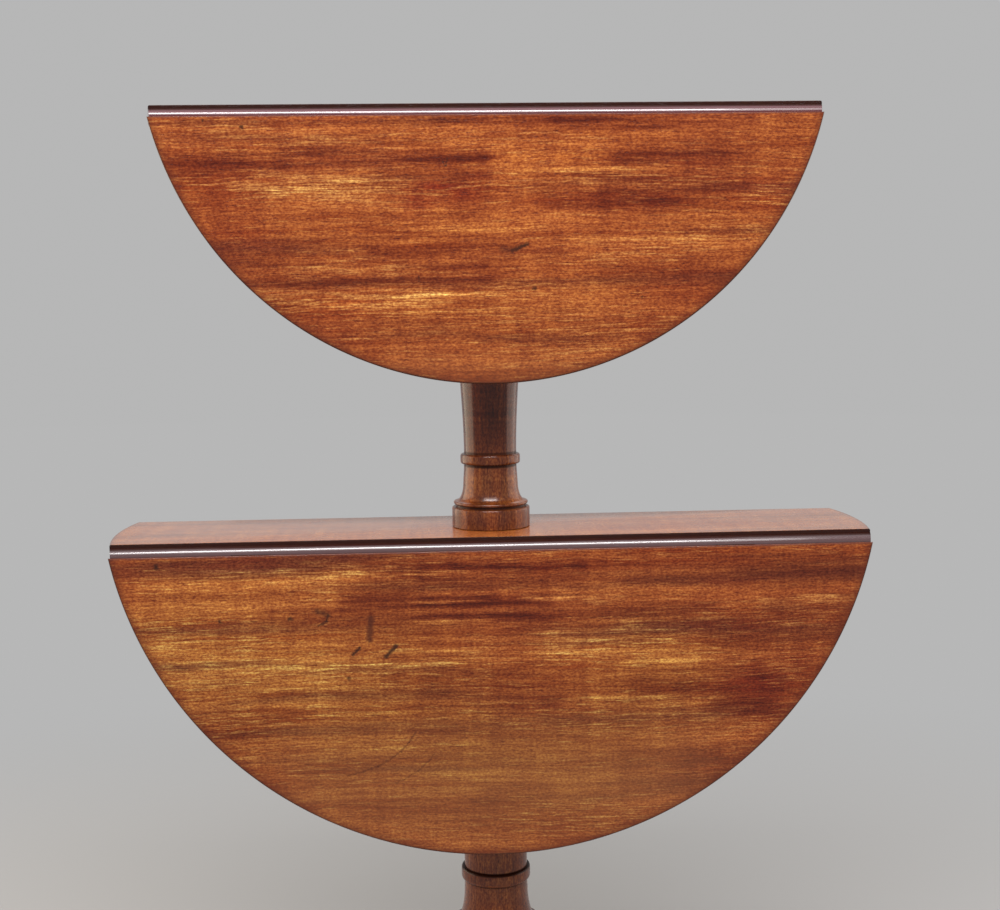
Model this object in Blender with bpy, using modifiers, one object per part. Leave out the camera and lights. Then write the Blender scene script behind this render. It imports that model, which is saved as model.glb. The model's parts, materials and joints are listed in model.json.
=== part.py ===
"""Two-tier drop-leaf dumbwaiter table on a turned column and a tripod with castors.

Each round tier is a fixed centre board with a drop leaf in front and behind, hung on rule
joints. Metres, +Z up, the origin on the floor under the column's axis, +X along the hinge
lines. The leaves hang, as they do at rest.
"""
import math

import bmesh
import bpy
from mathutils import Matrix, Vector

# Round tiers
LOWER_RADIUS = 0.330
UPPER_RADIUS = 0.2855
LOWER_TOP = 0.620
TIER_SPACING = 0.362
BOARD_THICKNESS = 0.014
BOARD_ARRIS = 0.0013

# Rule joints, the same on both tiers
HINGE_LINE = 0.064
PIN_DEPTH = 0.010
FILLET_DEPTH = 0.003
COVE_CLEARANCE = 0.0004

# Fits
GAP = 0.0003
OVERRUN = 0.002

# Leaf supports
BLOCK_THICKNESS = 0.022
BLOCK_HALF_WIDTH = 0.050
BEARER_THICKNESS = 0.016
BEARER_HALF_WIDTH = 0.014
BEARER_TO_BLOCK = 0.010

# Column and hub
SPIGOT_RADIUS = 0.015
SPIGOT_DEPTH = 0.045
TENON_RADIUS = 0.013
HUB_RADIUS = 0.045
HUB_TOP = 0.241
HUB_BOTTOM = 0.158

# Tripod
LEG_COUNT = 3
LEG_REACH = 0.262
LEG_ROOT_HEIGHT = 0.213
LEG_TOE_HEIGHT = 0.060
TOE_LENGTH = 0.034
TOE_SIZE = 0.022
WHEEL_WIDTH = 0.013
CASTOR_TRAIL = 0.012

# Facets
TIER_STEPS = 80
COLUMN_STEPS = 24
CASTOR_STEPS = 16
SCREW_STEPS = 8
KNUCKLE_STEPS = 10
ARC_POINTS = 7

MERGE = 0.00001
UPPER_TOP = LOWER_TOP + TIER_SPACING
FULL_TURN = 2 * math.pi
QUARTER = math.pi / 2

FINISHES = {
    "mahogany": ((0.30, 0.105, 0.035), 0.28, 0.0),
    "column_wood": ((0.20, 0.075, 0.030), 0.30, 0.0),
    "bearer_wood": ((0.34, 0.19, 0.10), 0.60, 0.0),
    "brass": ((0.72, 0.50, 0.20), 0.32, 1.0),
    "iron": ((0.16, 0.15, 0.14), 0.50, 1.0),
}

for old in list(bpy.data.objects):
    bpy.data.objects.remove(old, do_unlink=True)
parts = bpy.data.collections.new("dumbwaiter_table")
cutters = bpy.data.collections.new("cutters")
for group in (parts, cutters):
    bpy.context.scene.collection.children.link(group)


def polar(radius, angle):
    """Point at an angle on a circle about the column's axis."""
    return radius * math.cos(angle), radius * math.sin(angle)


def arc(centre, size, start, end, count=ARC_POINTS):
    """Points on an ellipse of the given half sizes, from one angle to another."""
    angles = [start + (end - start) * i / count for i in range(count + 1)]
    return [(centre[0] + size[0] * math.cos(t), centre[1] + size[1] * math.sin(t)) for t in angles]


def swell(low, high, count=4):
    """Smooth S-curve between two points of a turned profile, flat at both its ends."""
    steps = [i / count for i in range(count + 1)]
    blend = [(1 - math.cos(math.pi * s)) / 2 for s in steps]
    return [(low[0] + (high[0] - low[0]) * b, low[1] + (high[1] - low[1]) * s)
            for s, b in zip(steps, blend)]


def add_object(name, mesh, group=parts):
    """Links a mesh under a name and returns its object."""
    obj = bpy.data.objects.new(name, mesh)
    group.objects.link(obj)
    return obj


def from_bmesh(name, shape, group):
    """Turns a bmesh into a linked object."""
    mesh = bpy.data.meshes.new(name)
    shape.to_mesh(mesh)
    shape.free()
    return add_object(name, mesh, group)


def box(name, low, high, group=parts):
    """Box between two corners."""
    shape = bmesh.new()
    bmesh.ops.create_cube(shape, size=1)
    low, high = Vector(low), Vector(high)
    bmesh.ops.scale(shape, vec=high - low, verts=shape.verts)
    bmesh.ops.translate(shape, vec=(low + high) / 2, verts=shape.verts)
    return from_bmesh(name, shape, group)


def rod(name, radius, start, end, steps, group=parts):
    """Round bar from one point to another."""
    start, end = Vector(start), Vector(end)
    shape = bmesh.new()
    bmesh.ops.create_cone(shape, cap_ends=True, segments=steps, radius1=radius,
                          radius2=radius, depth=(end - start).length)
    turn = (end - start).to_track_quat("Z", "Y").to_matrix().to_4x4()
    bmesh.ops.transform(shape, matrix=Matrix.Translation((start + end) / 2) @ turn,
                        verts=shape.verts)
    return from_bmesh(name, shape, group)


def prism(name, outline, low, high, axis, group=parts):
    """Flat outline carried along an axis: (y, z) along X, (x, z) along Y or (x, y) along Z."""
    curve = bpy.data.curves.new(name, "CURVE")
    curve.dimensions = "2D"
    curve.fill_mode = "BOTH"
    curve.extrude = (high - low) / 2
    spline = curve.splines.new("POLY")
    spline.points.add(len(outline) - 1)
    for point, place in zip(spline.points, outline):
        point.co = (place[0], place[1], 0, 1)
    spline.use_cyclic_u = True
    sheet = add_object(name + "_outline", curve, group)
    bpy.context.view_layer.update()
    graph = bpy.context.evaluated_depsgraph_get()
    mesh = bpy.data.meshes.new_from_object(sheet.evaluated_get(graph))
    bpy.data.objects.remove(sheet, do_unlink=True)
    middle = (low + high) / 2
    turns = {
        "X": Matrix(((0, 0, 1, middle), (1, 0, 0, 0), (0, 1, 0, 0), (0, 0, 0, 1))),
        "Y": Matrix(((1, 0, 0, 0), (0, 0, -1, middle), (0, 1, 0, 0), (0, 0, 0, 1))),
        "Z": Matrix.Translation((0, 0, middle)),
    }
    shape = bmesh.new()
    shape.from_mesh(mesh)
    bmesh.ops.remove_doubles(shape, verts=shape.verts, dist=MERGE)
    bmesh.ops.transform(shape, matrix=turns[axis], verts=shape.verts)
    bmesh.ops.recalc_face_normals(shape, faces=shape.faces)
    bpy.data.meshes.remove(mesh)
    return from_bmesh(name, shape, group)


def turned(name, profile, steps, ring=False, group=parts):
    """Turns a profile of (radius, height) points, which runs down its outer side, about Z."""
    mesh = bpy.data.meshes.new(name)
    count = len(profile)
    edges = [(i, i + 1) for i in range(count - 1)] + ([(count - 1, 0)] if ring else [])
    mesh.from_pydata([(r, 0, z) for r, z in profile], edges, [])
    obj = add_object(name, mesh, group)
    lathe = obj.modifiers.new("lathe", "SCREW")
    lathe.axis = "Z"
    lathe.angle = FULL_TURN
    lathe.steps = steps
    lathe.render_steps = steps
    lathe.use_merge_vertices = True
    lathe.merge_threshold = MERGE
    lathe.use_smooth_shade = True
    return obj


def combine(obj, tool, operation):
    """Cuts, joins or intersects an object with a tool, which is kept out of the model."""
    step = obj.modifiers.new(operation.lower(), "BOOLEAN")
    step.operation = operation
    step.solver = "EXACT"
    step.object = tool
    tool.hide_render = True
    tool.display_type = "WIRE"
    return obj


def soften(obj, width, segments=1, angle=math.radians(50)):
    """Rounds the sharp edges of an object."""
    step = obj.modifiers.new("soften", "BEVEL")
    step.width = width
    step.segments = segments
    step.limit_method = "ANGLE"
    step.angle_limit = angle
    return obj


def simplify(obj):
    """Joins points that a cut left together, and flat neighbours into one face."""
    weld = obj.modifiers.new("weld", "WELD")
    weld.merge_threshold = MERGE
    flat = obj.modifiers.new("flatten", "DECIMATE")
    flat.decimate_type = "DISSOLVE"
    flat.angle_limit = math.radians(0.5)
    return obj


def shared_mesh(obj):
    """Takes the finished mesh of a pattern piece and removes the piece and its tools."""
    simplify(obj)
    tools = [step.object for step in obj.modifiers if step.type == "BOOLEAN"]
    bpy.context.view_layer.update()
    graph = bpy.context.evaluated_depsgraph_get()
    mesh = bpy.data.meshes.new_from_object(obj.evaluated_get(graph))
    mesh.name = obj.name
    for piece in [obj] + tools:
        bpy.data.objects.remove(piece, do_unlink=True)
    return mesh


def place(obj, location, rotation=(0, 0, 0), parent=None):
    """Puts an object at its place under its parent."""
    obj.location = location
    obj.rotation_euler = rotation
    obj.parent = parent
    return obj


def paint(obj, finish):
    """Gives an object a material of its own in one of the finishes."""
    colour, roughness, metallic = FINISHES[finish]
    mat = bpy.data.materials.new(obj.name + "_" + finish)
    mat.use_nodes = True
    shader = mat.node_tree.nodes["Principled BSDF"]
    shader.inputs["Base Color"].default_value = (*colour, 1)
    shader.inputs["Roughness"].default_value = roughness
    shader.inputs["Metallic"].default_value = metallic
    if not obj.data.materials:
        obj.data.materials.append(None)
    obj.material_slots[0].link = "OBJECT"
    obj.material_slots[0].material = mat
    return obj


# Each tier's own sizes: radius, height of its top, its block, its bearers and its bore
TIERS = {
    "lower": dict(radius=LOWER_RADIUS, top=LOWER_TOP, block_half_length=0.075,
                  bearer_half_length=0.100, bore=SPIGOT_RADIUS + GAP),
    "upper": dict(radius=UPPER_RADIUS, top=UPPER_TOP, block_half_length=0.065,
                  bearer_half_length=0.085, bore=TENON_RADIUS + GAP),
}
HINGE_PLACE_share = 0.62
OVOLO_RADIUS = PIN_DEPTH - FILLET_DEPTH
COVE_RADIUS = OVOLO_RADIUS + COVE_CLEARANCE
PIN_TO_UNDERSIDE = BOARD_THICKNESS - PIN_DEPTH

# Rule-joint hinges: a flap under the centre board, a flap under the leaf, and the pin
HINGE = dict(half_length=0.017, plate=0.0018, knuckle=0.0029, pin=0.0012, bore=0.0016,
             middle_half=0.0062, fixed_reach=0.026, leaf_reach=0.022, neck_start=0.0005)
SWING_REACH = PIN_TO_UNDERSIDE + GAP
PLATE_TOP = HINGE["plate"] - PIN_TO_UNDERSIDE


def hinge_sites(tier):
    """The two places along X where a tier's hinges sit."""
    reach = tier["radius"] * HINGE_PLACE_share
    return [-reach, reach]


def round_top(name, tier, group=parts):
    """Whole round top with softened arrises, before it is sawn into board and leaves."""
    edge = tier["radius"]
    arris = BOARD_ARRIS
    top = arc((edge - arris, -arris), (arris, arris), QUARTER, 0, 2)
    low = arc((edge - arris, arris - BOARD_THICKNESS), (arris, arris), 0, -QUARTER, 2)
    profile = [(0, 0)] + top + low + [(0, -BOARD_THICKNESS)]
    return turned(name, profile, TIER_STEPS, group=group)


def board_section():
    """Outline across the centre board, with an ovolo about each pin line."""
    below = -math.asin(PIN_TO_UNDERSIDE / OVOLO_RADIUS)
    pin = (HINGE_LINE, -PIN_DEPTH)
    side = [(HINGE_LINE, OVERRUN)] + arc(pin, (OVOLO_RADIUS, OVOLO_RADIUS), QUARTER, below)
    side.append((side[-1][0], -BOARD_THICKNESS - OVERRUN))
    return side + [(-y, z) for y, z in reversed(side)]


def leaf_section(tier):
    """Outline across a raised leaf from its pin line, with the lip and the cove."""
    out = tier["radius"] - HINGE_LINE + OVERRUN
    start = math.acos(GAP / COVE_RADIUS)
    cove = arc((0, 0), (COVE_RADIUS, COVE_RADIUS), start, 0)
    foot = -PIN_TO_UNDERSIDE - OVERRUN
    return [(GAP, PIN_DEPTH + OVERRUN)] + cove + [(COVE_RADIUS, foot), (out, foot),
                                                 (out, PIN_DEPTH + OVERRUN)]


def mortise_tools(name, half, site):
    """Cutters for one hinge in the centre board: swing room, knuckle and flap recess."""
    x, side, z = site
    wide = half + GAP
    under = -PIN_TO_UNDERSIDE - OVERRUN
    back = HINGE["fixed_reach"] + GAP
    swing = box(name + "_swing", (-wide, -SWING_REACH - GAP, under),
                (wide, OVOLO_RADIUS + OVERRUN, 0), cutters)
    knuckle = rod(name + "_knuckle", HINGE["knuckle"] + GAP, (-wide - GAP, 0, 0),
                  (wide + GAP, 0, 0), KNUCKLE_STEPS, cutters)
    recess = box(name + "_recess", (-wide, -back, under), (wide, -SWING_REACH, PLATE_TOP + GAP),
                 cutters)
    turn = (0, 0, 0 if side > 0 else math.pi)
    return [place(tool, (x, side * HINGE_LINE, z), turn) for tool in (swing, knuckle, recess)]


def make_board(key, tier, screws):
    """Centre board: the round top kept between the rule joints, with mortises and bores."""
    name = key + "_centre_board"
    board = place(round_top(name, tier), (0, 0, tier["top"]))
    section = prism(name + "_section", board_section(), -tier["radius"] - OVERRUN,
                    tier["radius"] + OVERRUN, "X", cutters)
    combine(board, place(section, (0, 0, tier["top"])), "INTERSECT")
    pin_height = tier["top"] - PIN_DEPTH
    for i, x in enumerate(hinge_sites(tier)):
        for side in (-1, 1):
            label = f"{name}_mortise_{i}_{'front' if side < 0 else 'back'}"
            for tool in mortise_tools(label, HINGE["half_length"], (x, side, pin_height)):
                combine(board, tool, "DIFFERENCE")
    underside = tier["top"] - BOARD_THICKNESS
    for i, (x, radius, depth) in enumerate(screws):
        pilot = rod(f"{name}_pilot_{i}", radius + GAP, (x, 0, underside - OVERRUN),
                    (x, 0, underside + depth + GAP), SCREW_STEPS, cutters)
        combine(board, pilot, "DIFFERENCE")
    if key == "lower":
        bore = rod(name + "_bore", tier["bore"], (0, 0, underside - OVERRUN),
                   (0, 0, tier["top"] + OVERRUN), COLUMN_STEPS, cutters)
        combine(board, bore, "DIFFERENCE")
    return paint(simplify(board), "mahogany")


def make_leaf(key, side, tier):
    """Drop leaf on its pin line: the rest of the round top, hung down from the rule joint."""
    name = f"{key}_{'front' if side < 0 else 'back'}_leaf"
    blank = round_top(name + "_top", tier)
    mesh = shared_mesh(blank)
    mesh.transform(Matrix.Translation((0, -HINGE_LINE, PIN_DEPTH)))
    leaf = add_object(name, mesh)
    turn = (-QUARTER, 0, 0 if side > 0 else math.pi)
    place(leaf, (0, side * HINGE_LINE, tier["top"] - PIN_DEPTH), turn)
    section = prism(name + "_section", leaf_section(tier), -tier["radius"] - OVERRUN,
                    tier["radius"] + OVERRUN, "X", cutters)
    combine(leaf, place(section, (0, 0, 0), parent=leaf), "INTERSECT")
    wide = HINGE["half_length"] + GAP
    for i, x in enumerate(hinge_sites(tier)):
        low = (x - wide, COVE_RADIUS - OVERRUN, -PIN_TO_UNDERSIDE - OVERRUN)
        high = (x + wide, COVE_RADIUS + HINGE["leaf_reach"] + GAP, PLATE_TOP + GAP)
        recess = box(f"{name}_recess_{i}", low, high, cutters)
        combine(leaf, place(recess, (0, 0, 0), parent=leaf), "DIFFERENCE")
    return paint(simplify(leaf), "mahogany")


def fixed_flap_mesh():
    """Flap let into the centre board, with its two outer knuckles and the riveted pin."""
    half = HINGE["half_length"]
    inner = HINGE["middle_half"] + GAP
    wide, neck = half - GAP, inner + GAP
    back = -SWING_REACH - GAP
    start = -HINGE["neck_start"]
    outline = [(-wide, -HINGE["fixed_reach"]), (wide, -HINGE["fixed_reach"]), (wide, start),
               (neck, start), (neck, back), (-neck, back), (-neck, start), (-wide, start)]
    flap = prism("fixed_flap", outline, -PIN_TO_UNDERSIDE, PLATE_TOP, "Z")
    for start, end in ((inner, half), (-half, -inner)):
        barrel = rod("fixed_knuckle", HINGE["knuckle"], (start, 0, 0), (end, 0, 0),
                     KNUCKLE_STEPS, cutters)
        combine(flap, barrel, "UNION")
    pin = rod("hinge_pin", HINGE["pin"], (-half + GAP, 0, 0), (half - GAP, 0, 0),
              KNUCKLE_STEPS, cutters)
    return shared_mesh(combine(flap, pin, "UNION"))


def leaf_flap_mesh():
    """Flap let into the leaf, with the middle knuckle bored for the pin."""
    half = HINGE["half_length"]
    middle = HINGE["middle_half"]
    edge = COVE_RADIUS + GAP
    end = COVE_RADIUS + HINGE["leaf_reach"]
    start = HINGE["neck_start"]
    neck = middle - GAP
    shoulder = edge + GAP
    outline = [(-neck, start), (neck, start), (neck, edge), (half, shoulder), (half, end),
               (-half, end), (-half, shoulder), (-neck, edge)]
    flap = prism("leaf_flap", outline, -PIN_TO_UNDERSIDE, PLATE_TOP, "Z")
    barrel = rod("leaf_knuckle", HINGE["knuckle"], (-middle, 0, 0), (middle, 0, 0),
                 KNUCKLE_STEPS, cutters)
    bore = rod("leaf_knuckle_bore", HINGE["bore"], (-middle - OVERRUN, 0, 0),
               (middle + OVERRUN, 0, 0), KNUCKLE_STEPS, cutters)
    combine(flap, barrel, "UNION")
    return shared_mesh(combine(flap, bore, "DIFFERENCE"))


def make_hinges(key, tier, fixed_mesh, leaf_mesh):
    """Two hinges on each pin line of a tier."""
    for side, word in ((-1, "front"), (1, "back")):
        for x, hand in zip(hinge_sites(tier), ("left", "right")):
            turn = 0 if side > 0 else math.pi
            spot = (x, side * HINGE_LINE, tier["top"] - PIN_DEPTH)
            fixed = add_object(f"{key}_{word}_{hand}_board_flap", fixed_mesh)
            paint(place(fixed, spot, (0, 0, turn)), "brass")
            moving = add_object(f"{key}_{word}_{hand}_leaf_flap", leaf_mesh)
            paint(place(moving, spot, (-QUARTER, 0, turn)), "brass")


# Countersunk wood screws: head radius, head height, shank radius, length
PIVOT_SCREW = dict(head=0.0055, sink=0.0035, shank=0.0025, length=0.025)
BLOCK_SCREW = dict(head=0.0045, sink=0.0028, shank=0.0020, length=0.030)
PLATE_SCREW = dict(head=0.0042, sink=0.0025, shank=0.0020, length=0.018)
SCREW_TIP_share = 0.25


def screw_mesh(name, size):
    """Countersunk screw that points up, its head's face at the origin."""
    tip = size["length"] * (1 - SCREW_TIP_share)
    profile = [(0, size["length"]), (size["shank"], tip), (size["shank"], size["sink"]),
               (size["head"], 0), (0, 0)]
    return shared_mesh(turned(name, profile, SCREW_STEPS))


def countersink(name, size, spot, depth, play=GAP):
    """Cutter for a screw's hole through a piece, from its head's face upwards."""
    shank, head = size["shank"] + play, size["head"] + play
    profile = [(0, depth + OVERRUN), (shank, depth + OVERRUN), (shank, size["sink"]), (head, 0),
               (head, -OVERRUN), (0, -OVERRUN)]
    return place(turned(name, profile, SCREW_STEPS, group=cutters), spot)


def bearer_pivots(tier):
    """Places along X of a tier's two bearer pivots, clear of its block."""
    x = tier["block_half_length"] + BEARER_TO_BLOCK + tier["bearer_half_length"]
    return [-x, x]


BEARER_END_ROUND = 0.006
PIVOT_PLAY = 0.0006
BLOCK_ARRIS = 0.003
BLOCK_SCREW_share = 0.72


def make_bearers(key, tier, screw):
    """Two bearers that swing about their middle under the centre board."""
    top = tier["top"] - BOARD_THICKNESS - GAP
    long, half = tier["bearer_half_length"], BEARER_HALF_WIDTH
    for x, hand in zip(bearer_pivots(tier), ("left", "right")):
        name = f"{key}_{hand}_bearer"
        bearer = box(name, (-long, -half, -BEARER_THICKNESS), (long, half, 0))
        soften(bearer, BEARER_END_ROUND / 2)
        place(bearer, (x, 0, top))
        hole = countersink(name + "_hole", PIVOT_SCREW, (x, 0, top - BEARER_THICKNESS),
                           BEARER_THICKNESS, PIVOT_PLAY)
        paint(simplify(combine(bearer, hole, "DIFFERENCE")), "bearer_wood")
        pivot = add_object(f"{key}_{hand}_pivot_screw", screw)
        paint(place(pivot, (x, 0, top - BEARER_THICKNESS)), "iron")


def make_block(key, tier, screw):
    """Block under the centre board, bored for the column and held by two screws."""
    top = tier["top"] - BOARD_THICKNESS - GAP
    foot = top - BLOCK_THICKNESS
    long, half = tier["block_half_length"], BLOCK_HALF_WIDTH
    name = key + "_block"
    block = box(name, (-long, -half, foot), (long, half, top))
    soften(block, BLOCK_ARRIS)
    bore = rod(name + "_bore", tier["bore"], (0, 0, foot - OVERRUN), (0, 0, top + OVERRUN),
               COLUMN_STEPS, cutters)
    combine(block, bore, "DIFFERENCE")
    reach = long * BLOCK_SCREW_share
    for x, hand in ((-reach, "left"), (reach, "right")):
        hole = countersink(f"{name}_{hand}_hole", BLOCK_SCREW, (x, 0, foot), BLOCK_THICKNESS)
        combine(block, hole, "DIFFERENCE")
        fixing = add_object(f"{key}_block_{hand}_screw", screw)
        paint(place(fixing, (x, 0, foot)), "iron")
    return paint(simplify(block), "bearer_wood")


def board_pilots(tier):
    """Blind holes in a centre board's underside: place along X, radius and depth."""
    pivot = PIVOT_SCREW["length"] - BEARER_THICKNESS - GAP
    fixing = BLOCK_SCREW["length"] - BLOCK_THICKNESS - GAP
    reach = tier["block_half_length"] * BLOCK_SCREW_share
    return ([(x, PIVOT_SCREW["shank"], pivot) for x in bearer_pivots(tier)]
            + [(x, BLOCK_SCREW["shank"], fixing) for x in (-reach, reach)])


# Upper column: radii and the heights above the lower tier's top
UPPER_TURNING = dict(drum=0.0345, drum_height=0.0175, quirk=0.0300, quirk_height=0.0025,
                     lip=0.0328, lip_height=0.0025, spring=0.0312, cavetto=0.0155,
                     neck=0.0243, ring_neck=0.0232, ring_low=0.056, ring_high=0.065,
                     ring=0.0265, belly=0.0276, belly_height=0.180)
# Lower column: the same members, larger, with heights below the lower tier's top
LOWER_TURNING = dict(drum=0.0415, drum_height=0.0170, quirk=0.0370, quirk_height=0.0025,
                     lip=0.0395, lip_height=0.0030, spring=0.0378, cavetto=0.0110,
                     neck=0.0290, ring_neck=0.0286, ring_low=0.3270, ring_high=0.3123,
                     ring=0.0313, belly=0.0335, belly_height=0.190)
CAPITAL_SHRINK_share = 0.94


def base_mouldings(size, foot):
    """Members at a column's foot, top to bottom: ring, neck, cavetto, lip, quirk and drum."""
    drum_top = foot + size["drum_height"]
    lip_low = drum_top + size["quirk_height"]
    lip_top = lip_low + size["lip_height"]
    lip_half = size["lip_height"] / 2
    hollow = arc((size["spring"], lip_top + size["cavetto"]),
                 (size["spring"] - size["neck"], size["cavetto"]), math.pi, 3 * QUARTER, 4)
    bead = arc((size["lip"] - lip_half, lip_low + lip_half), (lip_half, lip_half),
               QUARTER, -QUARTER, 3)
    drum = arc((size["drum"] - lip_half, drum_top - lip_half), (lip_half, lip_half),
               QUARTER, 0, 2)
    return hollow + bead + [(size["quirk"], lip_low), (size["quirk"], drum_top)] + drum \
        + [(size["drum"], foot)]


def ring_moulding(size, low, high):
    """Half-round ring between two heights on the column's neck, top to bottom."""
    half = (high - low) / 2
    return arc((size["ring_neck"], low + half), (size["ring"] - size["ring_neck"], half),
               QUARTER, -QUARTER, 4)


def column_profile(size, foot, ring, belly_height, head):
    """Outer side of a column from its head to its foot, with the members repeated at its head."""
    low_ring, high_ring = ring
    shrunk = {k: v * CAPITAL_SHRINK_share for k, v in size.items()}
    capital = [(r, foot + head - z) for r, z in reversed(base_mouldings(shrunk, foot))]
    ring_size = (high_ring - low_ring) * CAPITAL_SHRINK_share
    top_ring = head - (low_ring - foot) * CAPITAL_SHRINK_share
    belly = (size["belly"], belly_height)
    upper_neck = (shrunk["ring_neck"], top_ring - ring_size)
    shaft_high = list(reversed(swell(belly, upper_neck)))
    shaft_low = list(reversed(swell((size["ring_neck"], high_ring), belly)))[1:]
    return (capital + ring_moulding(shrunk, top_ring - ring_size, top_ring)
            + shaft_high + shaft_low + ring_moulding(size, low_ring, high_ring)
            + base_mouldings(size, foot))


def make_upper_column():
    """Upper column, with a tenon for the upper block and a spigot through the lower tier."""
    foot = LOWER_TOP + GAP
    head = UPPER_TOP - BOARD_THICKNESS - BLOCK_THICKNESS - 2 * GAP
    size = UPPER_TURNING
    ring = (LOWER_TOP + size["ring_low"], LOWER_TOP + size["ring_high"])
    outer = column_profile(size, foot, ring, LOWER_TOP + size["belly_height"], head)
    tenon_top = head + BLOCK_THICKNESS
    spigot_foot = LOWER_TOP - BOARD_THICKNESS - BLOCK_THICKNESS - GAP - SPIGOT_DEPTH
    profile = ([(0, tenon_top), (TENON_RADIUS, tenon_top), (TENON_RADIUS, head)] + outer
               + [(SPIGOT_RADIUS, foot), (SPIGOT_RADIUS, spigot_foot), (0, spigot_foot)])
    return paint(turned("upper_column", profile, COLUMN_STEPS), "column_wood")


HUB_ARRIS = 0.004


def make_lower_column():
    """Lower column in one piece with the hub that the legs are dovetailed into."""
    head = LOWER_TOP - BOARD_THICKNESS - BLOCK_THICKNESS - 2 * GAP
    size = LOWER_TURNING
    ring = (LOWER_TOP - size["ring_low"], LOWER_TOP - size["ring_high"])
    outer = column_profile(size, HUB_TOP, ring, LOWER_TOP - size["belly_height"], head)
    bore_foot = head - SPIGOT_DEPTH - GAP
    bore = SPIGOT_RADIUS + GAP
    hub_top = arc((HUB_RADIUS - HUB_ARRIS, HUB_TOP - HUB_ARRIS), (HUB_ARRIS, HUB_ARRIS),
                  QUARTER, 0, 2)
    profile = ([(0, bore_foot), (bore, bore_foot), (bore, head)] + outer + hub_top
               + [(HUB_RADIUS, HUB_BOTTOM), (0, HUB_BOTTOM)])
    column = turned("lower_column", profile, COLUMN_STEPS)
    for i in range(LEG_COUNT):
        slot = dovetail(f"leg_slot_{i}", GAP, HUB_BOTTOM - OVERRUN, cutters)
        combine(column, place(slot, (0, 0, 0), (0, 0, FULL_TURN * i / LEG_COUNT)), "DIFFERENCE")
    for i, (x, y) in enumerate(plate_screws()):
        pilot = rod(f"plate_pilot_{i}", PLATE_SCREW["shank"] + GAP,
                    (x, y, HUB_BOTTOM - OVERRUN),
                    (x, y, HUB_BOTTOM + PLATE_SCREW["length"] - PLATE_THICKNESS + GAP),
                    SCREW_STEPS, cutters)
        combine(column, pilot, "DIFFERENCE")
    return paint(simplify(column), "column_wood")


# Legs, in the plane of one leg: X outwards, Z up
LEG_BEND_power = 1.75
LEG_ROOT_DEPTH = 0.052
LEG_ROOT_WIDTH = 0.030
LEG_START = 0.030
LEG_ARRIS = 0.0035
LEG_STEPS = 12
TAIL = dict(depth=0.012, narrow=0.007, wide=0.010, height=0.066)
CAP_WALL = 0.0015
CAP_FLOOR = 0.003
RIVET = dict(radius=0.006, height=0.002)
SWIVEL_IN = 0.013


def dovetail(name, play, foot, group=parts):
    """Dovetail key of a leg in the hub, grown by some play for its slot."""
    face = HUB_RADIUS + OVERRUN
    inner = HUB_RADIUS - TAIL["depth"] - play
    outline = [(inner, -TAIL["wide"] - play), (face, -TAIL["narrow"] - play),
               (face, TAIL["narrow"] + play), (inner, TAIL["wide"] + play)]
    return prism(name, outline, foot, HUB_BOTTOM + TAIL["height"] + play, "Z", group)


def leg_outline():
    """Side view of a leg: a falling sweep that deepens to its root, and a straight toe."""
    top, low = [], []
    drop = LEG_ROOT_HEIGHT - LEG_TOE_HEIGHT
    run = LEG_REACH - LEG_START
    for i in range(LEG_STEPS + 1):
        s = i / LEG_STEPS
        x = LEG_START + run * s
        z = LEG_TOE_HEIGHT + drop * (1 - s) ** LEG_BEND_power
        slope = -LEG_BEND_power * drop / run * (1 - s) ** (LEG_BEND_power - 1)
        half = (LEG_ROOT_DEPTH + (TOE_SIZE - LEG_ROOT_DEPTH) * s) / 2
        across = Vector((-slope, 1)).normalized() * half
        top.append((x + across.x, z + across.y))
        low.append((x - across.x, z - across.y))
    end = LEG_REACH + TOE_LENGTH
    top.append((end, LEG_TOE_HEIGHT + TOE_SIZE / 2))
    low.append((end, LEG_TOE_HEIGHT - TOE_SIZE / 2))
    return top + list(reversed(low))


def leg_mesh():
    """Sabre leg with its dovetail key and the pocket for the castor's rivet."""
    blank = prism("leg", leg_outline(), -1, 1, "Y")
    slope = (LEG_ROOT_WIDTH - TOE_SIZE) / (LEG_REACH - HUB_RADIUS)
    for vertex in blank.data.vertices:
        vertex.co.y *= (TOE_SIZE + slope * (LEG_REACH - vertex.co.x)) / 2
    soften(blank, LEG_ARRIS / 2)
    cope = rod("leg_cope", HUB_RADIUS + GAP, (0, 0, HUB_BOTTOM - HUB_RADIUS),
               (0, 0, HUB_TOP + HUB_RADIUS), COLUMN_STEPS, cutters)
    combine(blank, cope, "DIFFERENCE")
    combine(blank, dovetail("leg_tail", 0, HUB_BOTTOM, cutters), "UNION")
    floor = LEG_TOE_HEIGHT - TOE_SIZE / 2
    x = LEG_REACH + TOE_LENGTH - SWIVEL_IN
    pocket = rod("rivet_pocket", RIVET["radius"] + GAP, (x, 0, floor - OVERRUN),
                 (x, 0, floor + RIVET["height"] + GAP), CASTOR_STEPS, cutters)
    return shared_mesh(combine(blank, pocket, "DIFFERENCE"))


PLATE_THICKNESS = 0.0025
PLATE_EDGE = 0.003
PLATE_SCREW_CIRCLE = 0.026


def plate_screws():
    """Places of the screws under the hub, between the legs."""
    first = math.pi / LEG_COUNT
    return [polar(PLATE_SCREW_CIRCLE, first + FULL_TURN * i / LEG_COUNT)
            for i in range(LEG_COUNT)]


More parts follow.
